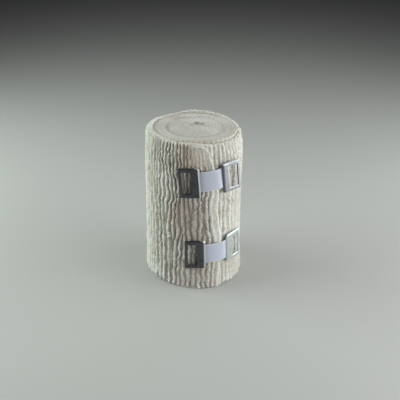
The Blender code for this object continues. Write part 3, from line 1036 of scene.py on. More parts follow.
    def ring_points(self, ring: Ring) -> tuple[Array, Array, Array, Array]:
        """Works out one row of points.

        Args:
            ring: The row.

        Returns:
            Its points, its places on the flat cloth, three marks, and its azimuths, heights and insets. The
            marks are the relief, from 0 in a groove to 1 on a crest, then 1 along the cloth's edge, and then
            1 where the cloth is smooth.
        """
        height = ring.height
        across, leftwards, azimuth, share = self.course(ring.level, height, ring.stride)
        rib = np.floor(across)
        low = sum(size * (1 + self.lumps.at(rib + start, height / tall)) for size, tall, start in self.sunk)
        crest = np.sin(math.pi * share) ** self.roundness * (1 - low)
        crest = crest * (1 - self.merge_depth * self.pinched(rib, ring.level))
        begin, fade = self.end_crest
        crest = crest + (1 - crest) * (1 - smooth((leftwards - begin) / fade))
        reach = read(self.form.free_end, height) - azimuth
        tall, wide = self.tuck_fade
        covered = smooth((read(self.corner, reach - FULL_TURN) - height) / tall)
        covered = covered * smooth((reach - FULL_TURN) / wide)
        depth = self.depth(leftwards, azimuth, height) * (1 - self.tuck_flat * covered)
        shallow, tall = self.shallow
        depth = depth * (1 - shallow * (1 + self.lumps.at(across + 0.5, ring.level / tall)))
        groove = depth * (crest - 1)
        eased = 1 - self.foot_ease * (1 - smooth(height / self.foot_fade))
        outer = self.form.oval_radius(azimuth, height) + self.form.step(reach) * eased - self.tuck * covered
        inner = self.inner_radius(outer, leftwards, azimuth, height)
        outer = outer + self.creased(azimuth, height) * (leftwards < FULL_TURN / 2)
        from_edge = self.from_edge(leftwards, height)
        at, spread = self.hem_line
        outer = outer + self.hem * smooth(height / self.foot_fade) * hump(from_edge - at, spread)
        radius = outer * (1 - ring.inset) + inner * ring.inset + groove * ring.relief
        relief = 1 + (crest - 1) * depth / self.rib_depth * (1 - ring.inset) ** 2
        at, spread = self.edge_mark
        even = 1 - self.ribbed(leftwards, azimuth, height)
        marks = np.stack([relief, hump(from_edge - at, spread), even], axis=-1)
        place = np.stack([turned(azimuth), height, ring.inset + 0 * azimuth], axis=-1)
        points = self.form.place(radius, azimuth, height + groove * ring.dip)
        return points, np.stack([across, height], axis=-1), marks, place

    def build(self) -> Piece:
        """Builds the wrap as one closed sheet, with its place on the flat cloth as a UV map.

        Returns:
            The piece.
        """
        parts = [self.ring_points(ring) for ring in self.rings()]
        starts = np.cumsum([0, *(len(part[0]) for part in parts)])
        rows = [list(range(start, end)) for start, end in zip(starts[:-1], starts[1:])]
        spots, cloth, marks, places = (np.concatenate(part) for part in zip(*parts))
        faces = []
        for low, high in zip(rows, rows[1:] + rows[:1]):
            faces += stitched(low, high)
        for end in (0, -1):
            faces += capped([row[end] for row in rows], spots)
        mesh = bpy.data.meshes.new("outer_wrap")
        mesh.from_pydata(spots, [], faces)
        corners = np.empty(len(mesh.loops), dtype=np.int32)
        mesh.loops.foreach_get("vertex_index", corners)
        mesh.uv_layers.new(name="cloth").data.foreach_set("uv", cloth[corners].ravel())
        for name, mark in zip(("relief", "edge", "smooth"), marks.T):
            store(mesh, name, mark)
        store(mesh, "place", places)
        face_outwards(mesh)
        return link_piece("outer_wrap", mesh)


def stitched(low: list[int], high: list[int]) -> list[Row]:
    """Joins two rows of points by faces.

    Args:
        low: The lower row.
        high: The upper row, with as many cells as the lower one, or half or twice as many.

    Returns:
        The faces.
    """
    if len(low) == len(high):
        return list(zip(low[:-1], low[1:], high[1:], high[:-1]))
    fine, coarse = (low, high) if len(low) > len(high) else (high, low)
    faces = list(zip(fine[0:-1:2], fine[1::2], coarse[:-1]))
    faces += list(zip(fine[1::2], fine[2::2], coarse[1:]))
    faces += list(zip(fine[1::2], coarse[1:], coarse[:-1]))
    return faces


def capped(loop: list[int], spots: Array) -> list[Row]:
    """Closes an upright loop that starts at its foot.

    Args:
        loop: The loop's points, once round.
        spots: Where all points lie.

    Returns:
        A strip of triangles between the loop's two sides.
    """
    faces = []
    near, far = 0, len(loop) - 1
    while far - near > 1:
        if spots[loop[near + 1], 2] <= spots[loop[far - 1], 2]:
            faces.append((loop[near], loop[near + 1], loop[far]))
            near += 1
        else:
            faces.append((loop[near], loop[far - 1], loop[far]))
            far -= 1
    return faces


@dataclass
class FrayedEdge:
    """Loose threads along the cloth's free end: a pulled thread round its corner, and short fibres."""

    outer: OuterWrap
    columns: int = 400
    lift: float = 0.05  # how far the threads lie over the crests
    fibres: int = 170
    fibre_length: float = 1.5
    fibre_radius: float = 0.07
    fibre_sides: int = 5
    fibre_steps: int = 5
    fibre_middle: Row = (0.5, -0.35, 0.2)  # as shares of the length
    fibre_end: Row = (1.0, -0.2, -0.15)
    fibre_spin: Pair = (-0.9, 1.3)  # least and most, in radians
    fibre_size: Pair = (0.45, 1.4)
    pulled_radius: float = 0.45
    pulled_sides: int = 6
    pulled_start: Pair = (0.5, 0.2)  # share of the line over which it thickens, and its thickness at first
    wander: float = 2.4
    wander_noise: Pair = (480.0, 3.0)  # scale, detail
    seed: int = 5
    # distance from the free end, height: the cloth's edge from its top round the corner and down
    path: Table = (
        (22.0, 99.1), (14.2, 98.7), (8.7, 98.2), (5.2, 97.2), (3.0, 95.8),
        (2.1, 94.3), (1.7, 92.0), (1.6, 88.0), (1.6, 82.0),
    )  # fmt: skip

    def line(self) -> Mesh:
        """Lays the cloth's edge on the face of the outermost wrap.

        Returns:
            A line of points.
        """
        leftwards, height = np.array(self.path).T
        form = self.outer.form
        azimuth = read(form.free_end, height) - leftwards
        points = form.place(form.crest(azimuth, height) + self.lift, azimuth, height)
        run = np.concatenate([[0.0], np.cumsum(np.linalg.norm(np.diff(points, axis=0), axis=1))])
        spots = np.linspace(0.0, run[-1], self.columns)
        points = np.stack([np.interp(spots, run, part) for part in points.T], axis=-1)
        mesh = bpy.data.meshes.new("frayed_edge")
        mesh.from_pydata(points, [(start, start + 1) for start in range(self.columns - 1)], [])
        return mesh

    def tree(self) -> Tree:
        """Wires the tree that lays the pulled thread on the line and sets the fibres along it.

        Returns:
            The tree.
        """
        numbers = dict.fromkeys(("Length", "Fibre", "Pulled", "Wander"), 0.0)
        wiring, inputs = shape_tree("frayed_edge", Fibres=1, **numbers, Seed=0, Cloth="Material")
        shape = wiring.shape
        line = shape("MeshToCurve", inputs["Geometry"])
        spot = shape("InputPosition")
        scale, detail = self.wander_noise
        noise = wiring.node("ShaderNodeTexNoise", Vector=spot, Scale=scale, Detail=detail)
        drift = wiring.vector("SUBTRACT", Value(wiring, noise.outputs["Color"]), (0.5, 0.5, 0.5))
        drift = wiring.vector("SCALE", drift, Scale=inputs["Wander"])
        loose = shape("SetPosition", line, Offset=drift)
        section = shape("CurvePrimitiveCircle", Resolution=self.pulled_sides, Radius=inputs["Pulled"])
        until, thin = self.pulled_start
        thick = wiring.ranged(shape("SplineParameter"), 0.0, until, thin, 1.0)
        pulled = shape("CurveToMesh", loose, section, Fill_Caps=True, Scale=thick)
        shares = (self.fibre_middle, self.fibre_end)
        middle, end = (wiring.vector("SCALE", share, Scale=inputs["Length"]) for share in shares)
        start = (0.0, 0.0, 0.0)
        bend = {"Resolution": self.fibre_steps, "Start": start, "Middle": middle, "End": end}
        fibre = shape("CurveQuadraticBezier", **bend)
        section = shape("CurvePrimitiveCircle", Resolution=self.fibre_sides, Radius=inputs["Fibre"])
        fibre = shape("CurveToMesh", fibre, section, Fill_Caps=True)
        places = shape("ResampleCurve", line, Count=inputs["Fibres"])
        x, y, _ = wiring.parts(spot)
        spin, size = (wiring.random(*bounds, inputs["Seed"]) for bounds in (self.fibre_spin, self.fibre_size))
        turn = wiring.joined(0.0, spin, wiring.math("ARCTAN2", x, -y))
        fibres = shape("InstanceOnPoints", places, Instance=fibre, Rotation=turn, Scale=size)
        return wiring.dressed(wiring.together(pulled, fibres), inputs["Cloth"])

    def build(self, cotton: Material) -> Piece:
        """Builds the threads.

        Args:
            cotton: The material that they are dressed in.

        Returns:
            The piece.
        """
        return grown_piece(
            self.line(),
            self.tree(),
            Fibres=self.fibres,
            Length=self.fibre_length * MM,
            Fibre=self.fibre_radius * MM,
            Pulled=self.pulled_radius * MM,
            Wander=self.wander * MM,
            Seed=self.seed,
            Cloth=cotton,
        )


class Side(Enum):
    """Which end of a clip a plate is."""

    LEFT = "left"
    RIGHT = "right"


class Metal(Enum):
    """How bright each plate's brushed face is painted in its place: one metal, darker or brighter for the
    reflection that its face shows there.
    """

    # painted reflections: dark where a face mirrors the dark room, bright where it mirrors a softbox
    DULL = (0.12, 0.118, 0.13)
    SATIN = (0.47, 0.475, 0.53)
    BRIGHT = (0.86, 0.95, 0.94)


@dataclass
class Plates:
    """The pressed metal ends of the clips, on their CAD bodies, with their edges rounded over."""

    tones: tuple[tuple[str, Side, Metal], ...] = (
        ("upper", Side.LEFT, Metal.DULL),
        ("upper", Side.RIGHT, Metal.SATIN),
        ("lower", Side.LEFT, Metal.DULL),
        ("lower", Side.RIGHT, Metal.BRIGHT),
    )
    weld: float = 1e-6  # metres between points that are one
    flat_degrees: float = 1.0  # bend up to which faces are one
    rounding: float = 0.13
    rounding_steps: int = 2
    sharp_degrees: float = 28.0
    evening: int = 100  # how much the large faces lead the shading
    facing: float = 0.9  # how squarely a face looks outwards that belongs to the plate's front
    upward_lean: float = 0.35  # how much leaning upwards counts beside leaning rightwards

    def node(self, clip: str, side: Side) -> str:
        """The name of a plate's node."""
        return f"{clip}_clip_buckle_{side.value}"

    def build(self, clip: str, side: Side, metal: Material) -> Piece:
        """Builds one plate as a rounded copy of its CAD body.

        Args:
            clip: The name of its clip.
            side: Which end of the clip it is.
            metal: The material that it is dressed in.

        Returns:
            The piece.
        """
        node = self.node(clip, side)
        work = bmesh.new()
        work.from_mesh(bpy.data.objects[node].data)
        bmesh.ops.remove_doubles(work, verts=work.verts, dist=self.weld)
        flat_enough = math.radians(self.flat_degrees)
        bmesh.ops.dissolve_limit(work, angle_limit=flat_enough, verts=work.verts, edges=work.edges)
        mesh = bpy.data.meshes.new(node)
        work.to_mesh(mesh)
        work.free()
        face_outwards(mesh)
        mesh.materials.clear()
        mesh.materials.append(metal)
        piece = link_piece(f"{clip}_plate_{side.value}", mesh)
        bevel = piece.modifiers.new("rounding", "BEVEL")
        bevel.width = self.rounding * MM
        bevel.segments = self.rounding_steps
        bevel.limit_method = "ANGLE"
        bevel.angle_limit = math.radians(self.sharp_degrees)
        piece.modifiers.new("evened", "WEIGHTED_NORMAL").weight = self.evening
        settle(piece)
        self.store_place(piece.data)
        return piece

    def store_place(self, mesh: Mesh) -> None:
        """Stores where each point lies on the plate and how each face leans, for its painted highlights and
        painted shade.

        Args:
            mesh: The plate. It gets its points' places in millimetres, rightwards and upwards from its
                middle, and its faces' lean rightwards and upwards.
        """
        normals = np.empty(3 * len(mesh.polygons))
        mesh.polygons.foreach_get("normal", normals)
        normals = normals.reshape(-1, 3)
        spots = np.empty(3 * len(mesh.vertices))
        mesh.vertices.foreach_get("co", spots)
        spots = spots.reshape(-1, 3) / MM
        middle = (spots.min(0) + spots.max(0)) / 2
        azimuth = math.atan2(middle[0], -middle[1])
        outwards = np.array([math.sin(azimuth), -math.cos(azimuth), 0.0])
        face = normals[normals @ outwards > self.facing].mean(0)
        face /= np.linalg.norm(face)
        offset = spots - spots.mean(0)
        upwards = np.linalg.eigh(np.cov(offset.T))[1][:, 2]
        upwards *= np.sign(upwards[2])
        rightwards = np.cross(upwards, face)
        place = np.stack([offset @ axis for axis in (rightwards, upwards, face)], axis=-1)
        store(mesh, "place", place - (place.min(0) + place.max(0)) / 2)
        store(mesh, "lean", normals @ (rightwards + self.upward_lean * upwards), "FACE")


@dataclass(frozen=True)
class Span:
    """Where one elastic runs, from under its left plate to under its right one."""

    name: str
    start_azimuth: float
    start_height: float
    end_azimuth: float
    end_height: float
    tilt: float

    @property
    def node(self) -> str:
        """The name of the elastic's node."""
        return f"{self.name}_clip_band"


@dataclass
class Elastics:
    """The clips' woven elastics: flat strips with cords along them."""

    form: WoundForm
    spans: tuple[Span, ...] = (
        Span("upper", -0.84, 76.1, 37.64, 78.1, 4.95),
        Span("lower", 5.07, 26.35, 44.1, 27.0, 2.0),
    )
    width: float = 13.0
    thickness: float = 0.8
    crimped: float = 0.5  # thickness where the metal grips it
    gripped: float = 3.4  # length that is under a plate, from the strip's end to the plate's side
    clearance: float = 0.3
    layer: float = 1.1
    ease: float = 14.0
    cords: int = 8
    cord_relief: float = 0.045
    lengths: int = 40
    widths: int = 8
    subdivisions: int = 2
    weld: float = 1e-7  # metres between points that are one
    sharp_degrees: float = 60.0

    def strip(self, span: Span) -> Mesh:
        """Lays a strip's underside on the roll.

        Args:
            span: Where the elastic runs.

        Returns:
            A grid that stores its places along and across the strip and its thickness.
        """
        grip = self.gripped / self.form.foot_radius
        lean = math.radians(span.tilt)
        steps = np.linspace(0, 1, self.lengths + 1), np.linspace(-0.5, 0.5, self.widths + 1)
        along, across = np.meshgrid(*steps)
        azimuth = span.start_azimuth + (span.end_azimuth - span.start_azimuth) * along
        height = span.start_height + (span.end_height - span.start_height) * along
        from_end = np.radians(np.minimum(azimuth - span.start_azimuth, span.end_azimuth - azimuth))
        thickness = self.crimped + (self.thickness - self.crimped) * smooth((from_end - grip) / grip)
        level = height + across * self.width * math.cos(lean)
        spot = azimuth - np.degrees(across * self.width * math.sin(lean) / self.form.foot_radius)
        past_end = spot - read(self.form.free_end, level)
        lifted = self.layer * (1 - smooth(past_end / self.ease)) * (past_end > 0)
        radius = self.form.crest(spot, level) + self.clearance + lifted
        points = self.form.place(radius, spot, level).reshape(-1, 3)
        row = self.lengths + 1
        corner = np.arange(self.widths * row).reshape(self.widths, row)[:, :-1].ravel()
        faces = np.stack([corner, corner + 1, corner + row + 1, corner + row], axis=-1)
        mesh = bpy.data.meshes.new(f"{span.name}_elastic")
        mesh.from_pydata(points, [], faces.tolist())
        for name, values in {"across": across, "along": along, "thickness": thickness * MM}.items():
            store(mesh, name, values.ravel())
        return mesh

    def tree(self) -> Tree:
        """Wires the tree that makes a corded strip of the grid.

        Returns:
            The tree.
        """
        wiring, inputs = shape_tree("corded_elastic", Levels=1, Cords=1.0, Relief=0.0, Elastic="Material")
        calc, shape = wiring.math, wiring.shape
        under = shape("SubdivideMesh", inputs["Geometry"], inputs["Levels"])
        wave = calc("SINE", (wiring.stored("across") + 0.5) * (inputs["Cords"] * math.pi))
        sunk = (calc("ABSOLUTE", wave) - 1) * inputs["Relief"]
        sockets = {"Offset_Scale": wiring.stored("thickness"), "Individual": False}
        raised = wiring.node("GeometryNodeExtrudeMesh", under, **sockets, mode="FACES")
        upper, face = (Value(wiring, output) for output in raised.outputs[:2])
        offset = wiring.vector("SCALE", shape("InputNormal"), Scale=sunk)
        upper = shape("SetPosition", upper, Selection=face, Offset=offset)
        closed = wiring.together(upper, shape("FlipFaces", under))
        closed = shape("MergeByDistance", closed, Distance=self.weld)
        return wiring.dressed(closed, inputs["Elastic"])

    def build(self, span: Span, elastic: Material) -> Piece:
        """Builds one elastic.

        Args:
            span: Where it runs.
            elastic: The material that it is dressed in.

        Returns:
            The piece.
        """
        relief = self.cord_relief * MM
        values = {"Levels": self.subdivisions, "Cords": self.cords, "Relief": relief, "Elastic": elastic}
        piece = grown_piece(self.strip(span), self.tree(), **values)
        piece.data.set_sharp_from_angle(angle=math.radians(self.sharp_degrees))
        return piece


@dataclass(frozen=True)
class CrepeYarns:
    """The crepe's yarns: rows of beads across each rib with fine fibres."""

    pitch: float = 1.15  # height of a bead
    slant: float = 0.8  # how far its row slants across a rib, in beads
    stagger: float = 0.5  # how far every second rib's beads are moved
    slip: Row = (7.3, 0.35, 1.6)  # the rows' unevenness: noise's cells to a rib and a millimetre, beads
    bead: float = 0.4
    fibres: Row = (5.0, 0.9, 0.35)  # noise's cells to a rib and a millimetre, height
    tufts: Pair = (800.0, 1.6)  # noise's scale, height
    tuft_shade: Row = (0.55, 0.3, 0.0, 0.9)
    fuzz: Row = (2400.0, 0.5, 0.3)  # noise's scale, height, shade
    fuzz_roughness: float = 0.6
    gap_shade: float = 0.5

    def group(self) -> Tree:
        """Wires the yarns as a height and a painted shade for the gaps between beads and tufts.

        Returns:
            The shared group.
        """
        wiring = Wiring(bpy.data.node_groups.new("crepe_yarns", "ShaderNodeTree"))
        fuzz_scale, fuzz_height, fuzz_shade = self.fuzz
        numbers = {"Pitch": self.pitch, "Slant": self.slant, "Fuzz": fuzz_height}
        inputs = wiring.inputs(Cloth="Vector", Object="Vector", **numbers)
        calc = wiring.math
        rib, height, _ = wiring.parts(inputs["Cloth"])
        number = calc("FLOOR", rib)
        stagger = calc("MODULO", number, 2.0) * self.stagger
        across, along, slipped = self.slip
        slip = wiring.noise(wiring.joined(number * across, height * along), 1.0, 1.0)
        slant = calc("FRACT", rib) * inputs["Slant"]
        phase = height / inputs["Pitch"] + (slip * slipped + (stagger + slant))
        bead = calc("ABSOLUTE", calc("SINE", phase * math.pi))
        scale, tuft_height = self.tufts
        tufts = wiring.noise(inputs["Object"], scale, roughness=self.fuzz_roughness)
        fuzz = wiring.noise(inputs["Object"], fuzz_scale, roughness=self.fuzz_roughness)
        across, along, fibre_height = self.fibres
        fibres = wiring.noise(wiring.joined(rib * across, height * along), 1.0)
        raised = bead * self.bead + (fibres * fibre_height + fuzz * inputs["Fuzz"]) + tufts * tuft_height
        gaps = (1 - bead) * self.gap_shade + fuzz * fuzz_shade
        wiring.outputs(Height=raised, Shade=gaps + wiring.ranged(tufts, *self.tuft_shade))
        return wiring.tree


@dataclass(frozen=True)
class HandlingSoil:
    """Faint yellowing and handling dirt of old cotton, in soft uneven patches."""

    scale: float = 40.0
    detail: float = 4.0
    amount: float = 0.5
    patches: Pair = (0.42, 0.72)

    def group(self) -> Tree:
        """Wires the dirt as a mask.

        Returns:
            The shared group.
        """
        wiring = Wiring(bpy.data.node_groups.new("handling_soil", "ShaderNodeTree"))
        inputs = wiring.inputs(Object="Vector", Scale=self.scale, Amount=self.amount)
        broad = wiring.noise(inputs["Object"], inputs["Scale"], self.detail)
        wiring.outputs(Mask=wiring.ranged(broad, *self.patches) * inputs["Amount"])
        return wiring.tree


class Surface(Wiring):
    """The wiring of a new material, from what its piece stores to its Principled shader."""

    def __init__(self, name: str) -> None:
        """Starts the material.

        Args:
            name: The name that it gets.
        """
        self.material = bpy.data.materials.new(name)
        self.material.use_nodes = True
        super().__init__(self.material.node_tree)
        self.spot = Value(self, self.node("ShaderNodeTexCoord").outputs["Object"])

    def stored(self, name: str) -> Value:
        """A number that the piece's mesh stores."""
        return Value(self, self.node("ShaderNodeAttribute", attribute_name=name).outputs["Fac"])

    def place(self) -> list[Value]:
        """The three numbers of the place that the piece's mesh stores."""
        node = self.node("ShaderNodeAttribute", attribute_name="place")
        return self.parts(Value(self, node.outputs["Vector"]))

    def group(self, tree: Tree, **inputs: Value) -> list[Value]:
        """What a shared group puts out."""
        node = self.node("ShaderNodeGroup", node_tree=tree, Object=self.spot, **inputs)
        return [Value(self, output) for output in node.outputs]

    def grain(self, scale: float, low: float, high: float, to_low: float, to_high: float) -> Value:
        """A noise over the piece, with one of its ranges mapped smoothly to another."""
        return self.ranged(self.noise(self.spot, scale), low, high, to_low, to_high)

    def blot(self, across: Value, along: Value) -> Value:
        """A soft round spot, 1 in its middle."""
        return self.math("EXPONENT", -(across * across + along * along))

    def mixed(self, share: Value, first: Value | Row, second: Row, blend: str = "MIX") -> Value:
        """Mixes a colour into another.

        Args:
            share: How far.
            first: The colour at share 0.
            second: The colour that is mixed in.
            blend: How it is mixed in.

        Returns:
            The mixed colour.
        """
        node = self.node("ShaderNodeMix", share, data_type="RGBA", blend_type=blend)
        for socket, colour in zip(node.inputs[6:8], (first, second)):
            self.feed(socket, colour if isinstance(colour, Value) else (*colour, 1.0))
        return Value(self, node.outputs[2])

    def done(
        self, colour: Value, bump: tuple[Value, float, float] | None, **sockets: Value | float
    ) -> Material:
        """Joins what the shader takes.

        Args:
            colour: The base colour.
            bump: Height of the bump, its strength and its depth in millimetres.
            sockets: What goes into the shader's other sockets, by name.

        Returns:
            The material.
        """
        sockets["Base_Color"] = colour
        if bump:
            height, strength, depth = bump
            values = {"Strength": strength, "Distance": depth * MM, "Height": height}
            sockets["Normal"] = self.add("ShaderNodeBump", **values)
        shader = self.tree.nodes["Principled BSDF"]
        for name, value in sockets.items():
            self.feed(shader.inputs[name.replace("_", " ")], value)
        return self.material


@dataclass(frozen=True)
class CottonFinish:
    """Unbleached cotton crepe: creamy crests, brownish painted shade in the grooves and between the yarn
    beads, painted highlights on the highest crests, staggered yarn beads and a soft nap.
    """

    name: str = "cotton_crepe"
    crest: Colour = (0.80, 0.785, 0.735)
    clean: Colour = (0.90, 0.89, 0.85)  # painted highlight on the highest crests
    # painted shade in the grooves between the ribs, and between the yarn beads
    groove: Colour = (0.30, 0.265, 0.232)
    hem: Colour = (0.89, 0.90, 0.86)
    soil: Colour = (0.58, 0.52, 0.43)
    seam: Colour = (0.56, 0.48, 0.37)  # painted shade, in blotches, in the groove inside the rim
    # painted shade on the middle front, which faces away from the side lights: azimuth, height, their
    # spreads, and the red, green and blue that multiply the cloth's own colour
    stains: Table = (
        (-5.0, 90.0, 13.0, 11.0, 0.86, 0.69, 0.63),
        (-9.0, 52.0, 17.0, 18.0, 0.71, 0.59, 0.62),
        (-6.0, 8.0, 22.0, 9.0, 0.94, 0.87, 0.89),
    )
    crest_relief: Pair = (0.0, 0.75)
    clean_relief: Row = (0.6, 0.92, 0.0, 0.7)
    hem_worn: Row = (650.0, 0.38, 0.58, 0.4, 1.0)
    seam_blots: Row = (260.0, 0.4, 0.6, 0.15, 0.9)
    seam_inset: Pair = (0.75, 0.97)
    seam_height: Pair = (99.9, 99.2)
    evenness: float = 0.6  # how far the yarns sink where the cloth is smooth
    yarn_shade: float = 0.5
    roughness: float = 0.92
    sheen: float = 0.35
    sheen_roughness: float = 0.5
    specular: float = 0.2
    bump: Pair = (1.0, 0.35)

    def make(self, yarns: Tree, soil: Tree) -> Material:
        """Makes the material of the outermost wrap.

        Args:
            yarns: The crepe's yarns.
            soil: Its dirt.

        Returns:
            The material.
        """
        skin = Surface(self.name)
        relief = skin.stored("relief")
        azimuth, height, inset = skin.place()
        raised, shade = skin.group(yarns, Cloth=skin.add("ShaderNodeUVMap", uv_map="cloth"))
        (dirt,) = skin.group(soil)
        # painted shade in the grooves, fading to the crests' colour
        colour = skin.mixed(skin.ranged(relief, *self.crest_relief), self.groove, self.crest)
        # painted highlight on the highest crests
        colour = skin.mixed(skin.ranged(relief, *self.clean_relief), colour, self.clean)
        # painted shade on the middle front, which faces away from the side lights
        for at, level, wide, tall, *tint in self.stains:
            shade_blot = skin.blot((azimuth - at) / wide, (height - level) / tall)
            colour = skin.mixed(shade_blot, colour, tint, "MULTIPLY")
        colour = skin.mixed(skin.stored("edge") * skin.grain(*self.hem_worn), colour, self.hem)
        colour = skin.mixed(dirt, colour, self.soil)
        # painted shade in the groove inside the rim: deep inside the wrap and below its top
        deep = skin.ranged(inset, *self.seam_inset) * skin.ranged(height, *self.seam_height)
        colour = skin.mixed(deep * skin.grain(*self.seam_blots), colour, self.seam)
        rough = skin.stored("smooth") * -self.evenness + 1
        # painted shade in the gaps between the yarn beads and tufts
        colour = skin.mixed(shade * (rough * self.yarn_shade), colour, self.groove)
        return skin.done(
            colour,
            (raised * rough, *self.bump),
            Roughness=self.roughness,
            Sheen_Weight=self.sheen,
            Sheen_Roughness=self.sheen_roughness,
            Specular_IOR_Level=self.specular,
        )


@dataclass(frozen=True)
class EdgeFinish:
    """The inner turns' cut edges: greyer cotton with fibres that stand up."""

    name: str = "cotton_crepe_turns"
    light: Colour = (0.67, 0.655, 0.62)
    dark: Colour = (0.41, 0.375, 0.34)
    handled: Colour = (0.47, 0.45, 0.46)  # a greyer band round the disc
    outermost: Colour = (0.62, 0.60, 0.53)
    # painted shade in the grooves of the turns' ribs, and in the specks round the eye
    groove: Colour = (0.46, 0.40, 0.33)
    # painted shade in the folded start of the cloth in the middle: x, y, spread, share of shade
    folds: Table = ((5.3, 1.3, 2.0, 1.0), (2.3, 3.6, 1.7, 0.6), (-1.3, -0.3, 1.4, 0.6))
    folded: Colour = (0.29, 0.26, 0.235)
    ribs: float = 580.0  # ribs to the whole strip, for its yarns
    tufts: Row = (900.0, 3.0, 0.7)
    tuft_shade: float = 0.6
    dirt_shade: float = 0.5
    dark_shade: Pair = (0.28, 0.68)
    # shares of the radius: where the outermost turn begins, the band's two sides, and what is near the eye
    outer_share: Pair = (0.93, 0.96)
    band_inside: Pair = (0.58, 0.66)
    band_outside: Row = (0.76, 0.68, 0.0, 0.45)
    eye_share: Pair = (0.22, 0.1)
    # painted shade in specks round the eye
    eye_specks: Row = (420.0, 0.52, 0.62, 0.0, 0.8)
    groove_ribs: Pair = (0.4, -0.9)
    groove_amount: Pair = (0.7, 0.2)  # painted shade: added on the outermost turn, and on all
    turn_cells: float = 26.0
    turn_shade: Row = (0.45, 0.7, 0.0, 0.4)
    roughness: float = 0.95
    sheen: float = 0.3
    specular: float = 0.2
    yarn_height: float = 0.4
    bump: Pair = (0.4, 0.3)

    def make(self, yarns: Tree, soil: Tree) -> Material:
        """Makes the material of the inner turns.

        Args:
            yarns: The crepe's yarns.
            soil: Its dirt.

        Returns:
            The material.
        """
        skin = Surface(self.name)
        share = skin.stored("share")
        x, y, height = skin.parts(skin.spot)
        raised, _ = skin.group(yarns, Cloth=skin.joined(skin.stored("run") * self.ribs, height * (1 / MM)))
        (dirt,) = skin.group(soil)
        tufts = skin.noise(skin.spot, *self.tufts)
        shade = tufts * self.tuft_shade + dirt * self.dirt_shade
        outermost = skin.ranged(share, *self.outer_share)
        colour = skin.mixed(outermost, self.light, self.outermost)
        colour = skin.mixed(skin.ranged(shade, *self.dark_shade), colour, self.dark)
        band = skin.ranged(share, *self.band_inside) * skin.ranged(share, *self.band_outside)
        colour = skin.mixed(band, colour, self.handled)
        # painted shade in the grooves between the turns' ribs
        added, always = self.groove_amount
        sunk = skin.ranged(skin.stored("ribs"), *self.groove_ribs) * (outermost * added + always)
        colour = skin.mixed(sunk, colour, self.groove)
        # painted shade in specks round the eye
        scale, *span = self.eye_specks
        shade_specks = skin.ranged(skin.noise(skin.spot, scale, 1.0), *span)
        colour = skin.mixed(skin.ranged(share, *self.eye_share) * shade_specks, colour, self.groove)
        turn = skin.noise(skin.joined(share * self.turn_cells), 1.0)
        colour = skin.mixed(skin.ranged(turn, *self.turn_shade), colour, self.dark)
        # painted shade in the folds of the cloth's start
        for at_x, at_y, spread, amount in self.folds:
            fold = skin.blot((x - at_x * MM) / (spread * MM), (y - at_y * MM) / (spread * MM))
            colour = skin.mixed(fold * amount, colour, self.folded)
        return skin.done(
            colour,
            (tufts + raised * self.yarn_height, *self.bump),
            Roughness=self.roughness,
            Sheen_Weight=self.sheen,
            Specular_IOR_Level=self.specular,
        )


@dataclass(frozen=True)
class ThreadFinish:
    """Loose cotton threads: pale, matt and twisted."""

    name: str = "cotton_thread"
    light: Colour = (0.90, 0.91, 0.87)
    dark: Colour = (0.70, 0.68, 0.61)
    twist: float = 1500.0
    upright: Row = (1.0, 1.0, 2.0)
    dark_twist: Pair = (0.35, 0.7)
    roughness: float = 0.9
    specular: float = 0.2
    bump: Pair = (0.4, 0.1)

    def make(self) -> Material:
        """Makes the material of the frayed threads.

        Returns:
            The material.
        """
        skin = Surface(self.name)
        twist = skin.noise(skin.vector("MULTIPLY", skin.spot, self.upright), self.twist)
        colour = skin.mixed(skin.ranged(twist, *self.dark_twist), self.light, self.dark)
        gloss = {"Roughness": self.roughness, "Specular_IOR_Level": self.specular}
        return skin.done(colour, (twist, *self.bump), **gloss)


@dataclass(frozen=True)
class ElasticFinish:
    """White woven elastic: cords with darker lines between them and fine crossing threads."""

    name: str = "white_elastic"
    cord: Colour = (0.59, 0.63, 0.76)
    line: Colour = (0.50, 0.53, 0.62)
    selvage: Colour = (0.68, 0.70, 0.78)
    selvage_from: Pair = (0.44, 0.47)
    cords: int = 8
    cord_wave: Pair = (0.1, 0.8)
    picks: int = 60  # crossing threads along the strip
    pick_shade: float = 0.25
    mottle: Pair = (700.0, 3.0)
    mottle_shade: float = 0.35
    roughness: float = 0.7
    sheen: float = 0.2
    specular: float = 0.3
    bump: Pair = (0.25, 0.15)

    def make(self) -> Material:
        """Makes the material of the clips' elastics.

        Returns:
            The material.
        """
        skin = Surface(self.name)
        calc, across = skin.math, skin.stored("across")
        wave = calc("ABSOLUTE", calc("SINE", (across + 0.5) * (self.cords * math.pi)))
        picks = calc("ABSOLUTE", calc("SINE", skin.stored("along") * (self.picks * math.pi)))
        mottled = skin.noise(skin.spot, *self.mottle)
        colour = skin.mixed(skin.ranged(wave, *self.cord_wave), self.line, self.cord)
        colour = skin.mixed(skin.ranged(calc("ABSOLUTE", across), *self.selvage_from), colour, self.selvage)
        shade = mottled * self.mottle_shade + (picks * -self.pick_shade + self.pick_shade)
        colour = skin.mixed(shade, colour, self.line)
        gloss = {"Roughness": self.roughness, "Sheen_Weight": self.sheen, "Specular_IOR_Level": self.specular}
        return skin.done(colour, (mottled, *self.bump), **gloss)


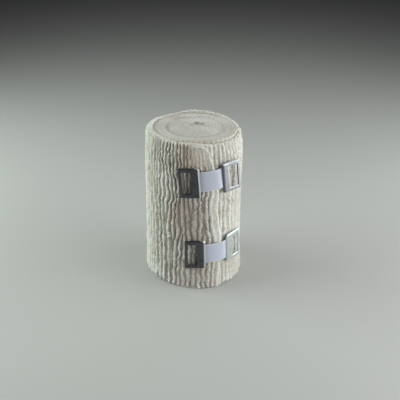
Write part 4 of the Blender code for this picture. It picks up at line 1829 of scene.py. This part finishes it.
@dataclass(frozen=True)
class PlateFinish:
    """Satin plated steel with painted highlights and painted shade by how its faces lean, painted highlight
    strips, fine scratches and dulled patches.
    """

    tone: Metal
    rubbed_edges: float = 0.85  # share of painted highlight on what leans rightwards and upwards
    rubbed_from: float = -9.0  # place rightwards from which leaning faces get the painted highlight
    # share of painted shade on what leans leftwards and downwards
    tarnished_edges: float = 0.75
    # parts of the face with a painted highlight: left, right, bottom and top in millimetres from its middle,
    # share of highlight
    patches: Table = ()
    patch_fade: float = 0.3
    patch_worn: Pair = (0.3, 0.6)
    patch_least: float = 0.7  # share of its painted highlight that is left where the metal is worn
    # colour of the painted highlights
    rubbed: Colour = (0.85, 0.85, 0.88)
    rubbed_lean: Pair = (0.12, 0.3)
    # colour of the painted shade
    tarnished: Colour = (0.10, 0.09, 0.11)
    tarnished_lean: Pair = (-0.1, -0.3)
    dulled: float = 0.8  # tone of the dulled parts, as a share
    dulled_worn: Pair = (0.45, 0.7)
    wear: Row = (260.0, 4.0, 0.6)
    scratches: Row = (6000.0, 6000.0, 300.0)
    roughness: float = 0.33
    worn_roughness: float = 0.2
    scratch_roughness: float = 0.1
    even_roughness: float = 0.12  # taken off for what the two above add
    bump: Pair = (0.08, 0.05)

    def make(self) -> Material:
        """Makes the material of the plates with this tone.

        Returns:
            The material.
        """
        skin = Surface(f"clip_metal_{self.tone.name.lower()}")
        worn = skin.noise(skin.spot, *self.wear)
        scratched = skin.noise(skin.vector("MULTIPLY", skin.spot, self.scratches), 1.0)
        dull = tuple(part * self.dulled for part in self.tone.value)
        colour = skin.mixed(skin.ranged(worn, *self.dulled_worn), self.tone.value, dull)
        lean = skin.stored("lean")
        across, up, _ = skin.place()
        # painted highlight on the parts of the face listed in the patches
        colour = skin.mixed(self.patched(skin, across, up, worn), colour, self.rubbed)
        # painted highlight on faces that lean rightwards and upwards
        right = skin.ranged(across, self.rubbed_from - self.patch_fade, self.rubbed_from)
        leaning = skin.ranged(lean, *self.rubbed_lean) * right
        colour = skin.mixed(leaning * self.rubbed_edges, colour, self.rubbed)
        # painted shade on faces that lean leftwards and downwards
        lean_shade = skin.ranged(lean, *self.tarnished_lean, 0.0, self.tarnished_edges)
        colour = skin.mixed(lean_shade, colour, self.tarnished)
        scratch = scratched * self.scratch_roughness + (self.roughness - self.even_roughness)
        rough = worn * self.worn_roughness + scratch
        return skin.done(colour, (scratched, *self.bump), Metallic=1.0, Roughness=rough)

    def patched(self, skin: Surface, across: Value, up: Value, worn: Value) -> Value:
        """Works out how much painted highlight each place of the face gets, from the table of patches.

        Args:
            skin: The material's wiring.
            across: Place rightwards.
            up: Place upwards.
            worn: How worn the metal is.

        Returns:
            The share of painted highlight.
        """
        rubbed, fade = worn * 0.0, self.patch_fade
        for left, right, bottom, top, amount in self.patches:
            wide = skin.ranged(across, left, left + fade) * skin.ranged(across, right, right - fade)
            tall = skin.ranged(up, bottom, bottom + fade) * skin.ranged(up, top, top - fade)
            uneven = skin.ranged(worn, *self.patch_worn, amount, self.patch_least * amount)
            rubbed = skin.math("MAXIMUM", rubbed, wide * tall * uneven)
        return rubbed


# The patches are painted highlights on parts of the plates' faces, such as along the windows' edges.
PLATE_FINISHES = (
    PlateFinish(Metal.DULL, rubbed_from=3.5),
    PlateFinish(
        Metal.SATIN,
        patches=(
            (-2.6, -1.6, -8.1, 7.4, 1.0),
            (-2.7, 4.2, -8.2, -7.2, 0.9),
            (-6.2, -1.5, 8.9, 9.9, 0.9),
            (4.0, 6.2, -9.0, 9.9, 0.35),
        ),
    ),
    PlateFinish(
        Metal.BRIGHT,
        rubbed_edges=0.5,
        tarnished_edges=0.2,
        patches=((-6.2, -1.0, 2.0, 9.9, 0.35), (-2.6, -1.0, -8.3, -7.1, 0.9)),
    ),
)


@dataclass(frozen=True)
class AreaLight:
    """One rectangular softbox, aimed at the middle of the roll."""

    name: str
    place: Row
    size: Pair
    power: float
    colour: Colour
    aim: Row = (0.0, 0.0, 0.05)

    def build(self) -> Piece:
        """Adds the light.

        Returns:
            The light.
        """
        data = bpy.data.lights.new(self.name, "AREA")
        data.shape = "RECTANGLE"
        data.size, data.size_y = self.size
        data.energy = self.power
        data.color = self.colour
        light = link_piece(self.name, data)
        light.location = self.place
        light.rotation_euler = (Vector(self.aim) - light.location).to_track_quat("-Z", "Y").to_euler()
        return light


@dataclass
class Studio:
    """A pale floor, soft lights on both sides and the camera of the picture."""

    lights: tuple[AreaLight, ...] = (
        AreaLight("left_box", (-0.46, 0.02, 0.12), (0.5, 0.6), 4.5, (0.89, 1.0, 0.93)),
        AreaLight("right_box", (0.46, 0.0, 0.14), (0.5, 0.6), 2.75, (0.92, 1.0, 0.97)),
        AreaLight("top_box", (0.0, 0.12, 0.6), (0.5, 0.5), 0.9, (0.98, 0.96, 0.96)),
        AreaLight("right_front_box", (0.4, -0.28, 0.15), (0.4, 0.5), 1.55, (0.98, 0.96, 0.94)),
    )
    floor_side: float = 6.0
    floor_colour: Colour = (0.5, 0.5, 0.49)
    floor_darker: float = 0.96
    floor_tooth: Pair = (900.0, 3.0)
    floor_roughness: float = 0.85
    world_colour: Colour = (0.02, 0.02, 0.022)
    lens: float = 63.0
    sensor: float = 36.0
    elevation: float = 25.617
    distance: float = 467.38
    target_height: float = 50.0
    focal: float = 699.93  # in pixels of the picture
    off_centre: Pair = (-6.749, 2.713)

    def build_floor(self) -> Piece:
        """Adds the floor.

        Returns:
            The floor.
        """
        half = self.floor_side / 2
        mesh = bpy.data.meshes.new("floor")
        corners = [(-half, -half, 0), (half, -half, 0), (half, half, 0), (-half, half, 0)]
        mesh.from_pydata(corners, [], [(0, 1, 2, 3)])
        floor = link_piece("floor", mesh)
        skin = Surface("floor_paper")
        darker = tuple(part * self.floor_darker for part in self.floor_colour)
        colour = skin.mixed(skin.noise(skin.spot, *self.floor_tooth), self.floor_colour, darker)
        mesh.materials.append(skin.done(colour, None, Roughness=self.floor_roughness))
        return floor

    def build_camera(self) -> Piece:
        """Adds the camera: from the front and above, turned a little so that the roll lies where it does.

        Returns:
            The camera.
        """
        rise = math.radians(self.elevation)
        back = Vector((0, -math.cos(rise), math.sin(rise)))
        right, up, forward = Vector((1, 0, 0)), Vector((0, math.sin(rise), math.cos(rise))), -back
        pan, tilt = (math.atan2(shift, self.focal) for shift in self.off_centre)
        turned_right = math.cos(pan) * right + math.sin(pan) * forward
        forward = math.cos(pan) * forward - math.sin(pan) * right
        turned_up = math.cos(tilt) * up + math.sin(tilt) * forward
        forward = math.cos(tilt) * forward - math.sin(tilt) * up
        data = bpy.data.cameras.new("camera")
        data.sensor_width = self.sensor
        data.lens = self.lens
        camera = link_piece("camera", data)
        turn = Matrix((turned_right, turned_up, -forward)).transposed().to_4x4()
        place = Vector((0, 0, self.target_height * MM)) + back * self.distance * MM
        camera.matrix_world = Matrix.Translation(place) @ turn
        bpy.context.scene.camera = camera
        return camera

    def build(self) -> None:
        """Adds the floor, the lights, the camera and the room's own soft light."""
        self.build_floor()
        for light in self.lights:
            light.build()
        self.build_camera()
        world = bpy.data.worlds.new("studio")
        world.use_nodes = True
        world.node_tree.nodes["Background"].inputs["Color"].default_value = (*self.world_colour, 1.0)
        bpy.context.scene.world = world
        bpy.context.scene.view_settings.view_transform = "Standard"


def report(piece: Piece) -> Piece:
    """Logs a piece's name and triangles."""
    log.info("%s: %d triangles", piece.name, sum(len(face.vertices) - 2 for face in piece.data.polygons))
    return piece


def main() -> None:
    logging.basicConfig(level=logging.INFO, format="%(message)s")
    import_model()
    form = WoundForm()
    yarns, soil = CrepeYarns().group(), HandlingSoil().group()

    turns = InnerTurns()
    outer = OuterWrap(form, turns)
    wrap = report(outer.build())
    wrap.data.materials.append(CottonFinish().make(yarns, soil))
    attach(wrap, "root")
    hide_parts("bandage_roll")
    frayed = report(FrayedEdge(outer).build(ThreadFinish().make()))
    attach(frayed, "root")

    inner = report(turns.build(EdgeFinish().make(yarns, soil)))
    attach(inner, "root")
    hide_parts("bandage_roll")

    elastics = Elastics(form)
    woven = ElasticFinish().make()
    for span in elastics.spans:
        band = report(elastics.build(span, woven))
        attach(band, "root")
        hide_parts(span.node)

    plates = Plates()
    metals = {finish.tone: finish.make() for finish in PLATE_FINISHES}
    for clip, side, tone in plates.tones:
        plate = report(plates.build(clip, side, metals[tone]))
        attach(plate, "root")
        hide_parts(plates.node(clip, side))

    Studio().build()


if __name__ == "__main__":
    main()
